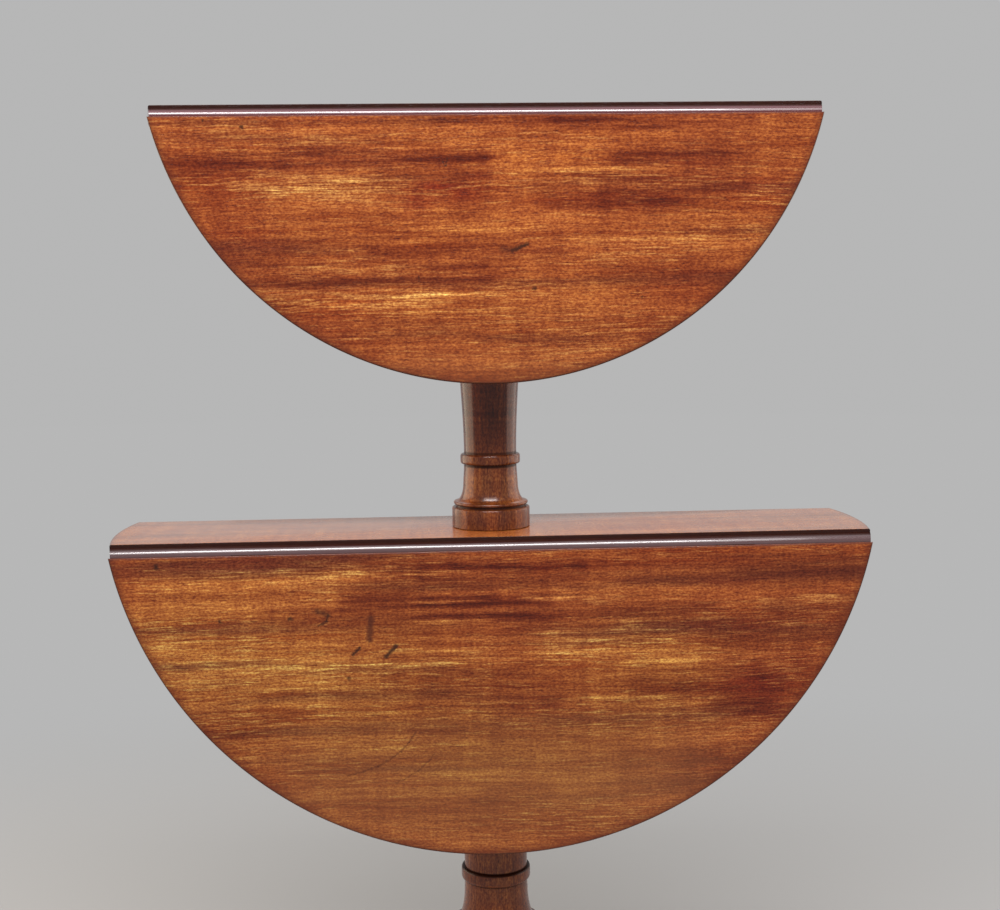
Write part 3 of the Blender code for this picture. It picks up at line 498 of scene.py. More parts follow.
# wear, and for the moulded edges the strength and extent of their tone, which holds a painted
# reflection
wearAndPaintedLight = dict(rimShade=0.6, rimLine=0.0022, rimInk=0.8, mouldTone=0.98, lipInk=0.75, dullFillet=0.9,
            bareRough=0.3, grit=520, ragged=0.0030, relief=0.6, swell=0.0004, swellShare=0.25,
            edge=(-0.0006, -0.0001), fillet=(-0.0030, -0.0006), foot=(0.0002, 0.0012),
            face=(-0.012, -0.008), lip=(-0.0022, -0.0006))     # each pair: from and to, off a level


def stepAt(value, level, name):
    # smooth step between the two ends listed under a name about a level
    return ramped(value, *(level + off for off in wearAndPaintedLight[name]))


def addBlooms(given, blooms, amounts):
    # soft areas with a wandering outline; gold threads stay nearly straight and taper out
    tree, kinds = given.id_data, {bloom[0] for bloom in blooms}
    wobble = less(noiseOf(given, (24, 24, 130), 3), 0.5)
    drift = times(less(noiseOf(given, (7, 7, 7)), 0.5), 0.010)
    bent = vector("ADD", given, combined(tree, X=times(wobble, 0.05), Z=times(wobble, 0.020)))
    nearly = vector("ADD", given, combined(tree, Z=drift))
    for kind, start, end, half, strength in blooms:
        fine = kind == "thread"
        area = grouped(mark, {"Vector": nearly if fine else bent, "Start": start, "End": end,
                              "Half Width": half, "Soft": half})
        mask = times(area["Mask"], area["Taper"]) if fine else area["Mask"]
        amounts[kind] = plus(amounts[kind], times(mask, strength))
    # the lighter and darker areas break up into lines
    broken = ramped(noiseOf(given, (6, 6, 160), 3), 0.34, 0.66, 0.45, 1.55)
    amounts["tone"] = plus(times(amounts["tone"], broken), 1.0)
    if "thread" in kinds:
        glint = ramped(noiseOf(given, (18, 18, 700), 3), 0.30, 0.54)
        amounts["thread"] = times(glint, amounts["thread"])
    return kinds


def addMarks(given, marks, colour, height):
    # small dark marks with ragged outlines, some of them cut into the surface
    grit = noiseOf(given, (wearAndPaintedLight["grit"],) * 3, output="Color")
    ragged = vector("ADD", given, stretched(vector("ADD", grit, (-0.5, -0.5, -0.5)), wearAndPaintedLight["ragged"]))
    for start, end, half, strength, tone, *depth in marks:
        mask = grouped(mark, {"Vector": ragged, "Start": start, "End": end, "Half Width": half,
                              "Soft": half * 0.8})["Mask"]
        colour = blended(times(mask, strength), colour, tones[tone])
        if depth:
            height = less(height, times(mask, depth[0]))
    return colour, height


def makeWood(name, look, grain=None, rotation=(0, 0, 0), seed=0.0, smoke=0.5, flecks=0.5, stain=0.3,
             rim=None, blooms=(), marks=(), grooves=(), jointTop=None, ovoloTone="lower",
             gloss=(0.24, 0.38), lipTop=None, faceAt=None, coat=0.45, coatRough=0.08, coatBend=1.5,
             specular=0.08, bump=0.00010):
    material, tree, shader = newMaterial(name)
    colours = {tone.capitalize(): (*value, 1) for tone, value in woods[look].items()}
    place = addNode(tree, "Attribute", attribute_name=grain).outputs["Vector"] if grain \
        else turnedPlace(tree, rotation)
    given = objectPlace(tree)
    axes = addNode(tree, "SeparateXYZ", {0: given}).outputs
    amounts = dict(smoke=smoke, gold=flecks, red=stain, haze=0.0, olive=0.0, tone=0.0, thread=0.0)
    kinds = addBlooms(given, blooms, amounts) if blooms else ()
    wood = grouped(woodFigure, {
        "Vector": place, "Seed": seed, "Smoke": amounts["smoke"], "Flecks": amounts["gold"],
        "Stain": amounts["red"], "Tone": amounts["tone"] if blooms else 1.0, **colours})
    film = grouped(polishFilm, {"Vector": place, "Gloss": gloss[0], "Dull": gloss[1]})
    colour, height, rough, shine = wood["Color"], wood["Height"], film["Roughness"], coat
    # gold threads and the olive tint multiply the colour, and the painted reflection of the floor is
    # mixed over it
    for kind, mixing in (("thread", "MULTIPLY"), ("olive", "MULTIPLY"), ("haze", "MIX")):
        if kind in kinds:
            colour = blended(amounts[kind], colour, tones[kind], mixing)
    if marks:
        colour, height = addMarks(given, marks, colour, height)
    if rim:                       # darker towards the rim, with a dark line at its very edge
        centred = turnedPlace(tree, rotation, rim["centre"])
        for width, strength, tone in ((rim["width"], wearAndPaintedLight["rimShade"], colours["Dark"]),
                                      (wearAndPaintedLight["rimLine"], wearAndPaintedLight["rimInk"], tones["ink"])):
            edge = grouped(rimShade, {"Vector": centred, "Radius": rim["radius"], "Width": width})
            colour = blended(times(edge["Mask"], strength), colour, tone)
    if grooves:                   # painted shade in the grooves between the mouldings, where the coat is also thinner
        grooveShade = 0.0
        for level, half, strength in grooves:
            off = absolute(less(axes["Z"], level))
            grooveShade = most(grooveShade, ramped(off, half * 0.3, half, strength, 0.0))
        colour = blended(grooveShade, colour, tones["ink"])
        shine = times(less(1.0, grooveShade), coat)
    if jointTop is not None:      # dark fillet running on over the ovolo's top, and each tier's ovolo tone, the lower one a painted lilac reflection; full coat on the ovolo, little on the fillet
        edge = stepAt(absolute(axes["Y"]), joint["line"], "edge")
        fillet = stepAt(axes["Z"], jointTop - joint["fillet"], "fillet")
        moulded = blended(fillet, tones[ovoloTone], tones["fillet"])
        colour = blended(times(edge, wearAndPaintedLight["mouldTone"]), colour, moulded)
        shine = plus(times(edge, less(1.0 - coat, times(fillet, wearAndPaintedLight["dullFillet"]))), coat)
        polished = stepAt(axes["Z"], jointTop - joint["thickness"], "foot")
        shine = times(shine, polished)
    if faceAt is not None:        # inner faces of the leaves are oiled, not polished
        polished = stepAt(absolute(axes["Y"]), faceAt, "face")
        shine = times(polished, coat)
    if jointTop is not None or faceAt is not None:
        rough = plus(rough, times(less(1.0, polished), wearAndPaintedLight["bareRough"]))
    if lipTop is not None:        # the lip of a hanging leaf is darkened as well
        lip = stepAt(axes["Z"], lipTop, "lip")
        colour = blended(times(lip, wearAndPaintedLight["lipInk"]), colour, tones["lip"])
    relief = addNode(tree, "Bump", {"Height": height, "Distance": bump, "Strength": wearAndPaintedLight["relief"]})
    swell = addNode(tree, "Bump", {"Height": film["Height"], "Distance": wearAndPaintedLight["swell"],
                                   "Strength": wearAndPaintedLight["swellShare"], "Normal": relief.outputs[0]})
    feed(shader, {"Base Color": colour, "Roughness": rough, "Coat Weight": shine,
                  "Coat Roughness": coatRough, "Coat IOR": coatBend, "Specular IOR Level": specular,
                  "Normal": swell.outputs[0]})
    return material


def makeMetal(name, bright, tarnish, amount):
    material, tree, shader = newMaterial(name)
    metal = grouped(agedMetal, {"Vector": turnedPlace(tree), "Bright": (*bright, 1),
                                "Tarnish": (*tarnish, 1), "Amount": amount})
    relief = addNode(tree, "Bump", {"Height": metal["Height"], "Distance": 0.00008, "Strength": 0.5})
    feed(shader, {"Base Color": metal["Color"], "Roughness": metal["Roughness"], "Metallic": 1.0,
                  "Normal": relief.outputs[0]})
    return material


onLeaf = (quarter, 0, 0)        # turns X-Z of a hanging leaf into X-Y
onColumn = (0, quarter, 0)      # turns Z into X
leafFace = joint["line"] + joint["pinDepth"]


def onFace(x, z):
    # place on the outer face of a front leaf as it hangs, from millimetres
    return x / 1000, -leafFace, z / 1000


def faceBlooms(bands, threads, areas, threadHalf=1.5, threadGain=1.6):
    # bands and gold threads run along the grain from one X to another at a height
    rows = ([("tone", (start, z), (end, z), half, strength)
             for start, end, z, half, strength in bands]
            + [("thread", (start, z), (end, z), threadHalf, threadGain * strength)
               for start, end, z, strength in threads] + areas)
    return [(kind, onFace(*start), onFace(*end), half / 1000, strength)
            for kind, start, end, half, strength in rows]


def faceMarks(rows, curves=(), count=7, curveHalf=0.7):
    # straight marks, and scratches made of short straight marks along a curve
    t = np.linspace(0, 1, count)[:, None]
    for start, bend, end, strength in curves:
        places = bezier(start, bend, end, t)
        rows = rows + [(*ends, curveHalf, strength, "bruise") for ends in zip(places, places[1:])]
    return [(onFace(*start), onFace(*end), half / 1000, *rest) for start, end, half, *rest in rows]


# Figure, wear and painted reflection of the two front leaves, in place on the hanging face, in
# millimetres
upperBlooms = faceBlooms([       # start and end along X, height, half width, how much lighter
    (-40, 215, 965.5, 7, -0.3), (55, 160, 965.5, 7, -0.16), (-260, -4, 937.2, 8, -0.4),
    (-250, -205, 927, 9, -0.16), (110, 205, 937.2, 8.5, -0.4), (-100, -6, 923.5, 6, -0.2),
    (94, 205, 909.5, 8.5, -0.32), (50, 152, 897.7, 6.5, -0.34), (-100, 62, 858.2, 6.5, -0.26),
    (-205, -4, 845.2, 8, -0.36), (-195, -4, 832, 6, -0.24), (94, 178, 846.7, 6.5, -0.24),
    (60, 128, 794, 12, -0.14), (-200, -105, 952, 6, 0.14), (8, 102, 938.5, 8, 0.22),
    (6, 55, 927, 11, 0.22), (-6, 65, 888, 10, 0.2), (-155, -50, 821.2, 8, 0.3),
    (6, 94, 828, 10, 0.18), (-240, -14, 872, 12, 0.14), (207, 252, 909, 12, 0.2),
], [                             # start and end along X, height, strength
    (-196, -113, 913.5, 0.6), (-188, -120, 909.5, 0.5), (-155, -10, 919.9, 0.45),
    (-113, -10, 894.4, 0.5), (-70, 60, 879, 0.45), (-185, -10, 849.9, 0.6), (-103, 20, 826.1, 0.6),
    (-268, -113, 943, 0.35), (10, 190, 926, 0.4), (20, 230, 870.5, 0.4), (-30, 150, 856, 0.35),
    (-130, 120, 812, 0.35),
], [                             # kind, start, end, half width, strength
    ("gold", (-200, 913.5), (-98, 913.5), 9.5, 1.2), ("gold", (-175, 821.5), (-50, 821.5), 10, 0.7),
    ("gold", (225, 899), (262, 904), 12, 0.6), ("red", (-58, 910), (-25, 905), 16, 0.8),
    # painted reflection of the floor, paler at the foot of the leaf
    ("haze", (-70, 750), (70, 750), 22, 0.25),
])
upperMarks = faceMarks([         # start, end, half width, strength, tone, depth
    ((17.5, 860.6), (30, 865.8), 1.6, 0.9, "ink", 2),
    ((9, 862.2), (17.5, 860.6), 2.8, 0.5, "bruise"), ((35, 829.6), (36.2, 829.4), 1.4, 0.8, "ink"),
    ((125, 821.2), (125.6, 821.2), 1, 0.7, "ink"),
    ((-202.2, 962.7), (-201, 962.2), 1.4, 0.85, "ink", 1),
    ((-233, 968.6), (-232.6, 967.9), 0.9, 0.8, "ink"),
    ((-39.2, 933.2), (-36.2, 930.5), 0.6, 0.7, "ink"),
    ((-36.2, 930.5), (-35.2, 936.2), 0.6, 0.7, "ink"),
    ((-60, 836.5), (-60, 840.5), 0.6, 0.7, "ink"),
])
lowerBlooms = faceBlooms([
    (-80, 306, 591.2, 8.5, -0.22), (-60, 70, 591.2, 8, -0.22), (-124, -8, 572.8, 7.5, -0.34),
    (-184, 180, 558.8, 9, -0.3), (-60, 45, 558.8, 9, -0.2), (246, 306, 560, 12, -0.34),
    (184, 262, 521.5, 20, -0.22), (-60, 60, 487, 11, -0.24), (122, 250, 487.7, 10, -0.34),
    (190, 235, 470, 8, -0.26), (-62, 60, 453, 12, -0.18), (122, 185, 424.6, 20, -0.2),
    (-10, 45, 398, 9, -0.2), (-110, -10, 381, 10, -0.14), (-250, -190, 464, 12, -0.16),
    (-300, -170, 530, 42, 0.24), (-270, -150, 520, 18, 0.08), (-290, -120, 588, 10, 0.14),
    (60, 172, 523, 16, 0.22), (58, 105, 579, 7, 0.26), (-180, -140, 466, 16, 0.16),
    # the last band, lighter at height 405, goes with the painted reflection of the floor there
    (60, 172, 476, 8, 0.24), (-130, 120, 405, 30, 0.1),
], [
    (-116, 6, 525.4, 0.6), (-224, 6, 514, 0.65), (-96, 6, 550, 0.5), (-91, 6, 567.5, 0.5),
    (-162, 6, 592.1, 0.5), (16, 92, 567.5, 0.8), (252, 300, 565, 0.7), (8, 170, 538.6, 0.6),
    (224, 306, 541.2, 0.5), (8, 128, 530.7, 0.55), (8, 128, 521, 0.5), (88, 206, 510.5, 0.45),
    (164, 221, 463.2, 0.45), (-300, -120, 598.5, 0.45), (45, 168, 479.8, 0.4),
    (-240, -80, 496, 0.4), (-200, 10, 472, 0.35), (-150, 20, 442, 0.35),
], [
    ("gold", (18, 567.5), (110, 566.8), 4.2, 1.7), ("gold", (228, 561.7), (300, 560.3), 4.5, 1.7),
    ("gold", (-300, 594), (-120, 595), 8, 0.9), ("gold", (-270, 540), (-100, 520), 30, 0.4),
    ("red", (-200, 564), (-150, 550), 12, 0.7), ("red", (230, 500), (260, 535), 25, 0.7),
    # the paler haze and the olive band at height 405 are painted reflection of the floor on the foot
    # of the leaf
    ("haze", (-150, 405), (150, 405), 46, 0.3), ("olive", (-120, 405), (100, 405), 46, 0.4),
    ("olive", (-260, 510), (-110, 480), 75, 0.6), ("olive", (0, 430), (140, 490), 55, 0.55),
])
lowerMarks = faceMarks([
    ((-283.8, 602.6), (-283.8, 601.4), 1.8, 0.95, "ink", 2),
    ((-233.2, 554.9), (-231.8, 554), 1.2, 0.85, "ink"),
    ((-174.2, 555.1), (-173.4, 555.1), 1.6, 0.8, "ink"),
    ((-151, 561.2), (-142, 558), 2.2, 0.65, "ink"),
    ((-142, 557.2), (-143.2, 553.2), 1.2, 0.75, "ink"),
    ((-143.2, 553.2), (-150, 548.4), 0.9, 0.7, "ink"),
    ((-106, 554.5), (-107.8, 535.8), 2.6, 0.8, "bruise"),
    ((-121.6, 523.2), (-116, 528.8), 1.3, 0.9, "ink", 2),
    ((-94, 520.7), (-85, 529.8), 1.7, 0.9, "ink", 2),
    ((-126.3, 503.4), (-125.5, 502.8), 1.5, 0.75, "ink"),
], [                             # start, bend, end, strength
    ((-129, 418), (-85, 426), (-70, 455), 0.55), ((-88, 410), (-65, 420), (-55, 434.5), 0.45),
])
leafLooks = {
    "lower": dict(seed=3.1, smoke=0.40, flecks=0.25, blooms=lowerBlooms, marks=lowerMarks),
    "upper": dict(seed=7.4, smoke=0.32, flecks=0.28, blooms=upperBlooms, marks=upperMarks),
}
otherSeeds = {"lower": dict(back=12.6, strip=21.3), "upper": dict(back=17.9, strip=26.8)}
stripFinish = dict(coat=0.78, coatRough=0.11, coatBend=1.65, specular=0.12)
leafWood, stripWood = {}, {}
for key, tier in tiers.items():
    pinHeight = tier["top"] - joint["pinDepth"]
    # centre of the round top seen from the hanging leaf: above the pin by the hinge line
    centre = (0, pinHeight + joint["line"], 0)
    hanging = dict(rotation=onLeaf, rim=dict(radius=tier["radius"], width=0.009, centre=centre),
                   lipTop=pinHeight, faceAt=leafFace)
    leafWood[key, "front"] = makeWood(key + "LeafWood", "leaf", **hanging, **leafLooks[key])
    leafWood[key, "back"] = makeWood(key + "BackLeafWood", "leaf", **hanging,
                                     seed=otherSeeds[key]["back"])
    stripWood[key] = makeWood(key + "StripWood", "strip", seed=otherSeeds[key]["strip"], smoke=0.3,
                              flecks=0.3, jointTop=tier["top"], ovoloTone=key, **stripFinish,
                              rim=dict(radius=tier["radius"], width=0.007, centre=(0, 0, 0)))
columnBlooms = [        # painted shade on the shaft under the upper tier, painted light on the flare where the lamps fall on it, and a darker drum at the foot
    ("tone", (0, 0, 0.718), (0, 0, 0.930), 0.030, -0.40),
    ("tone", (0, 0, 0.644), (0, 0, 0.652), 0.026, 0.45),
    ("tone", (0, 0, 0.600), (0, 0, 0.620), 0.026, -0.25),
]
columnGrooves = [       # height, half width, strength of the painted shade in each groove
    (0.6862, 0.0016, 0.70), (0.6752, 0.0022, 0.80), (0.6391, 0.0018, 0.80),
    (0.3074, 0.0019, 0.98), (0.2957, 0.0016, 0.60), (0.2524, 0.0018, 0.80),
    (0.5700, 0.0018, 0.60), (0.9330, 0.0018, 0.60),
]
columnMarks = [
    ((-0.0165, -0.0204, 0.7300), (-0.0120, -0.0235, 0.7296), 0.0012, 0.8, "ink"),
    ((-0.0105, -0.0240, 0.7240), (-0.0090, -0.0246, 0.7215), 0.0010, 0.7, "ink"),
]
columnWood = makeWood("columnWood", "column", rotation=onColumn, seed=31.0, flecks=0.35,
                      blooms=columnBlooms, marks=columnMarks, grooves=columnGrooves, coat=0.50,
                      coatRough=0.17, coatBend=1.55)
legWood = makeWood("legWood", "column", grain="grainPlace", seed=35.0, flecks=0.35, coat=0.55)
bearerWood = makeWood("bearerWood", "bearer", seed=41.0, smoke=0.6, flecks=0.2, gloss=(0.55, 0.72),
                      coat=0.0, bump=0.00025)
brass = makeMetal("brass", (0.60, 0.40, 0.15), (0.16, 0.10, 0.045), 0.65)
iron = makeMetal("iron", (0.20, 0.19, 0.18), (0.07, 0.05, 0.04), 0.8)
print("materials made")


# Tiers: each top is a stack of level slices, with the rule joint's curve along its hinge sides
def rimDrawIn(depth):
    # rounded arrises of the rim: a - sqrt(a^2 - (a - d)^2) near either face
    arris = joint["rimArris"]
    near = np.clip(arris - np.minimum(depth, joint["thickness"] - depth), 0, arris)
    return arris - np.sqrt(arris ** 2 - near ** 2)


def edgeCurve(start, way, sweep, radius):
    # depth and place across: a quarter-round arris at the face, then an arc about the pin
    arris, turn = joint["edgeArris"], np.linspace(0, quarter, 6)
    return (np.concatenate([arris - arris * np.cos(turn), joint["pinDepth"] - radius * np.sin(sweep)]),
            np.concatenate([start + way * (arris - arris * np.sin(turn)),
                            joint["line"] + radius * np.cos(sweep)]))


def boardEdge():
    # arris, fillet and ovolo down to the lower face
    lowest = -math.asin((joint["thickness"] - joint["pinDepth"]) / joint["ovolo"])
    return edgeCurve(joint["line"], -1, np.linspace(quarter, lowest, 30), joint["ovolo"])


def leafEdge():
    # arris, lip and cove down to the pin's level, then plain
    highest = math.acos(gap / joint["cove"])
    depth, across = edgeCurve(joint["line"] + gap, 1, np.linspace(highest, 0, 26), joint["cove"])
    return np.append(depth, joint["thickness"]), np.append(across, joint["line"] + joint["cove"])


def tierLevels(edge, radius):
    # the edge's own levels and those of the rim's arrises, with both curves read at each
    rise = joint["rimArris"] * (1 - np.cos(np.linspace(0, quarter, 7)))
    depth = np.unique(np.round(np.concatenate([edge[0], rise, joint["thickness"] - rise]), 7))
    across, radius = np.interp(depth, *edge)[:, None], (radius - rimDrawIn(depth))[:, None]
    corner, angle = np.sqrt(radius ** 2 - across ** 2), np.arcsin(across / radius)
    return depth[:, None], across, radius, corner, angle


def boardShell(tier, straight=24, curved=72):
    # ring at each level: front side, right arc, back side, left arc
    depth, across, radius, corner, angle = tierLevels(boardEdge(), tier["radius"])
    side, turn = np.arange(straight) / straight, np.arange(curved) / curved
    right, left = angle * (2 * turn - 1), math.pi + angle * (2 * turn - 1)
    x = np.hstack([corner * (2 * side - 1), radius * np.cos(right), corner * (1 - 2 * side),
                   radius * np.cos(left)])
    y = np.hstack([-across + 0 * side, radius * np.sin(right), across + 0 * side,
                   radius * np.sin(left)])
    return ringsShell(np.stack([x, y, np.broadcast_to(tier["top"] - depth, x.shape)], -1))


def leafShell(tier, side, straight=24, curved=260):
    # ring at each level: hinge side and arc of the raised leaf, then hung from the pin:
    # what was above the pin stands out from it, and what was out from it hangs below
    depth, across, radius, corner, angle = tierLevels(leafEdge(), tier["radius"])
    run, turn = np.arange(straight) / straight, np.arange(curved) / curved
    sweep = angle + (math.pi - 2 * angle) * turn
    x = np.hstack([corner * (2 * run - 1), radius * np.cos(sweep)])
    y = np.hstack([across + 0 * run, radius * np.sin(sweep)])
    out = joint["line"] + joint["pinDepth"] - np.broadcast_to(depth, x.shape)
    height = tier["top"] - joint["pinDepth"] + joint["line"] - y
    return ringsShell(np.stack([x * side, out * side, height], -1))


# Rule-joint hinges, as in the frame: pin-local, Y outwards, Z up
hinge = dict(half=0.017, plate=0.0018, knuckle=0.0029, pin=0.0012, middle=0.0062, fixedReach=0.026,
             leafReach=0.022, placeShare=0.62, under=0.004, over=0.002, clear=0.0005,
             corner=0.0012, arris=0.00015, screwOut=0.0115, screwInset=0.00006, screwPlay=0.0001,
             boardScrews=(-0.0115, -0.0205), leafScrews=(0.0145, 0.0235), screwTurn=(0.4, 0.9),
             holeMouth=1.4, holeAbove=0.5, holeDepth=3)
flapScrew = dict(head=0.0026, sink=0.0013, shank=0.0012, length=0.0017)


def atPin(shell, tier, hand, side, tilt=0):
    # from the pin's own frame to one hinge of a tier
    place = (hand * tier["radius"] * hinge["placeShare"], side * joint["line"],
             tier["top"] - joint["pinDepth"])
    return moved(shell, spun(0 if side > 0 else math.pi) @ spun(tilt, "X"), place)


def boardTools(tier):
    # room for the flap, the knuckle and the swinging leaf flap, across the pin
    under, end = -hinge["under"], joint["ovolo"] + hinge["over"]
    floor, flapTop = under - hinge["over"], under + hinge["plate"] + gap
    far, swing, room = -hinge["fixedReach"] - gap, hinge["under"] + 2 * gap, hinge["knuckle"] + gap
    arch = bow((0, 0), (room, room), math.pi, 0, 12)
    tool = alongX(np.concatenate([[(far, floor), (far, flapTop), (-swing, flapTop), (-swing, 0)],
                                  arch, [(end, 0), (end, floor)]]), hinge["half"] + gap)
    return [atPin(tool, tier, hand, side) for hand in (-1, 1) for side in (-1, 1)]


def leafTools(tier, side):
    # flap recesses in the inner face of the hanging leaf
    start, end = joint["cove"] - hinge["over"], joint["cove"] + hinge["leafReach"] + gap
    inner, outer = -hinge["under"] - hinge["over"], -hinge["under"] + hinge["plate"] + gap
    box = boxShell(hinge["half"] + gap, (inner, -end), (outer, -start))
    return [atPin(box, tier, hand, side) for hand in (-1, 1)]


for key, tier in tiers.items():
    dress(key + "_centre_board", [boardShell(tier)], stripWood[key], boardTools(tier))
    for side, word in leafSides:
        dress(f"{key}_{word}_leaf", [leafShell(tier, side)], leafWood[key, word],
              leafTools(tier, side))
print("tiers made")


# Screws: shares of the head's radius, and of the sink, length or shank for the last three
screwForm = dict(arris=0.06, slot=0.14, slotReach=1.2, mouth=1.5, slotDepth=0.30, straight=0.75,
                 point=0.02)


def screwShell(head, sink, shank, length):
    # slotted countersunk screw, its face at the origin looking down
    arris, slot, reach = (head * screwForm[name] for name in ("arris", "slot", "slotReach"))
    middle, point = (radius * screwForm["point"] for radius in (head, shank))
    profile = [(middle, 0), (head - arris, 0), (head, arris), (shank, sink),
               (shank, length * screwForm["straight"]), (point, length)]
    slotTool = boxShell(reach, (-slot, -sink), (slot, sink * screwForm["slotDepth"]))
    return shellOf(cutMesh(meshFrom("screw", [turnedShell(profile, 28)]), [slotTool]))


def screwHole(screw, play, inset, depth, above=0.002):
    # cutter that lets the head in by the inset, with play round the head and the shank
    shank = screw["shank"] + play
    return turnedShell([(screw["head"] * screwForm["mouth"], -above), (screw["head"] + play, inset),
                        (shank, screw["sink"] + inset), (shank, depth)], 28)


def roundedOutline(points, radius, steps=4, share=0.45):
    # polygon with its corners rounded: quadratic curve between points short of each corner,
    # by the radius or by no more than a share of the side
    flat = np.array(points, float)
    back, fore = np.roll(flat, 1, 0) - flat, np.roll(flat, -1, 0) - flat
    start, end = (flat + unit(side) * np.minimum(radius, lengthOf(side) * share)
                  for side in (back, fore))
    t = np.linspace(0, 1, steps + 1)[None, :, None]
    return bezier(start[:, None], flat[:, None], end[:, None], t).reshape(-1, 2)


def barrelShell(radius, start, end, arris=0.0002):
    # knuckle or pin along X, with softened ends
    profile = [(radius - arris, start), (radius, start + arris), (radius, end - arris),
               (radius - arris, end)]
    return moved(turnedShell(profile, 28), spun(quarter, "Y"))


def flapShells(outline, spots, barrels):
    # plate let in flush, with countersunk screws, and its barrels
    low, inset = -hinge["under"], hinge["screwInset"] - hinge["under"]
    plate = moved(plateShell(roundedOutline(outline, hinge["corner"]), hinge["plate"], hinge["arris"]),
                  shift=(0, 0, low + hinge["plate"] / 2))
    head, sink, shank = flapScrew["head"] + hinge["screwPlay"], flapScrew["sink"], flapScrew["shank"]
    hole = turnedShell([(head * hinge["holeMouth"], -sink * hinge["holeAbove"]), (head, 0),
                        (shank, sink), (shank, sink * hinge["holeDepth"])], 24)
    holes = [moved(hole, shift=(x, y, low)) for x, y in spots]
    firstTurn, nextTurn = hinge["screwTurn"]
    screws = [moved(screwShell(**flapScrew), spun(nextTurn * i + firstTurn), (x, y, inset))
              for i, (x, y) in enumerate(spots)]
    return ([shellOf(cutMesh(meshFrom("flap", [plate]), holes))] + screws
            + [barrelShell(*barrel) for barrel in barrels])


def mirrored(points):
    # whole outline from its right half, beginning with the left twin of that half's first point
    left = [(-x, y) for x, y in points]
    return left[:1] + points + left[:0:-1]


def spotsAt(pairPlace, lonePlace):
    # two screws side by side, and one between them further out
    return [(-hinge["screwOut"], pairPlace), (hinge["screwOut"], pairPlace), (0, lonePlace)]


half, middle, knuckle, clear = (hinge[name] for name in ("half", "middle", "knuckle", "clear"))
neck, far, reach = middle + 2 * gap, -hinge["fixedReach"], joint["cove"] + hinge["leafReach"]
back, cove = -(hinge["under"] + 2 * gap), joint["cove"]
boardFlap = flapShells(
    mirrored([(half - gap, far), (half - gap, -clear), (neck, -clear), (neck, back)]),
    spotsAt(*hinge["boardScrews"]),
    [(knuckle, middle + gap, half), (knuckle, -half, -middle - gap),
     (hinge["pin"], -half + gap, half - gap)])
leafFlap = flapShells(
    mirrored([(middle - gap, clear), (middle - gap, cove + gap), (half, cove + 2 * gap),
              (half, reach)]),
    spotsAt(*hinge["leafScrews"]), [(knuckle, -middle, middle)])
for key, tier in tiers.items():
    for side, word in leafSides:
        for hand, handWord in hands:
            for flap, shells, tilt in (("board", boardFlap, 0), ("leaf", leafFlap, -quarter)):
                dress(f"{key}_{word}_{handWord}_{flap}_flap",
                      [atPin(shell, tier, hand, side, tilt) for shell in shells], brass)
print("hinges made")


# Blocks and bearers under the centre boards
supports = dict(blockHalf=0.050, blockThickness=0.022, bearerHalf=0.014, bearerThickness=0.016,
                bearerToBlock=0.010, blockScrewShare=0.72, arris=0.003, inset=0.0004,
                blockPlay=0.0002, blockHole=0.0215, blockTurn=0.7, pivotPlay=0.0005,
                pivotHole=0.0152, pivotTurn=1.1)
pivotScrew = dict(head=0.0055, sink=0.0035, shank=0.0025, length=0.025)
blockScrew = dict(head=0.0045, sink=0.0028, shank=0.0020, length=0.030)


def beamShell(half, width, low, high):
    # bar along X, its section drawn in by a (1 - sin t) where its end is short by a (1 - cos t)
    arris, turn = supports["arris"], np.linspace(0, quarter, 5)
    pull, reach = arris * (1 - np.sin(turn)), half - arris * (1 - np.cos(turn))
    pull = np.concatenate([pull, pull[::-1]])
    rows = np.stack([np.concatenate([-reach, reach[::-1]]), width - pull, low + pull, high - pull], -1)
    return barShell(rows, arris)


blockDriven, pivotDriven = screwShell(**blockScrew), screwShell(**pivotScrew)
inset = supports["inset"]
blockHole, pivotHole = (
    screwHole(screw, supports[word + "Play"], inset, supports[word + "Hole"])
    for screw, word in ((blockScrew, "block"), (pivotScrew, "pivot")))
for key, tier in tiers.items():
    high = tier["top"] - joint["thickness"] - gap
    foot, low = high - supports["blockThickness"], high - supports["bearerThickness"]
    reach = tier["block"] * supports["blockScrewShare"]
    pivot = tier["block"] + supports["bearerToBlock"] + tier["bearer"]
    dress(key + "_block", [beamShell(tier["block"], supports["blockHalf"], foot, high)], bearerWood,
          [moved(blockHole, shift=(hand * reach, 0, foot)) for hand in (-1, 1)])
    for hand, word in hands:
        x = hand * reach
        dress(f"{key}_block_{word}_screw",
              [moved(blockDriven, spun(supports["blockTurn"] + 2 * x), (x, 0, foot + inset))],
              iron)
    bar = beamShell(tier["bearer"], supports["bearerHalf"], low, high)
    for hand, word in hands:
        x = hand * pivot
        dress(f"{key}_{word}_bearer", [moved(bar, shift=(x, 0, 0))], bearerWood,
              [moved(pivotHole, shift=(x, 0, low))])
        dress(f"{key}_{word}_pivot_screw",
              [moved(pivotDriven, spun(supports["pivotTurn"] + x), (x, 0, low + inset))],
              iron)
print("supports made")


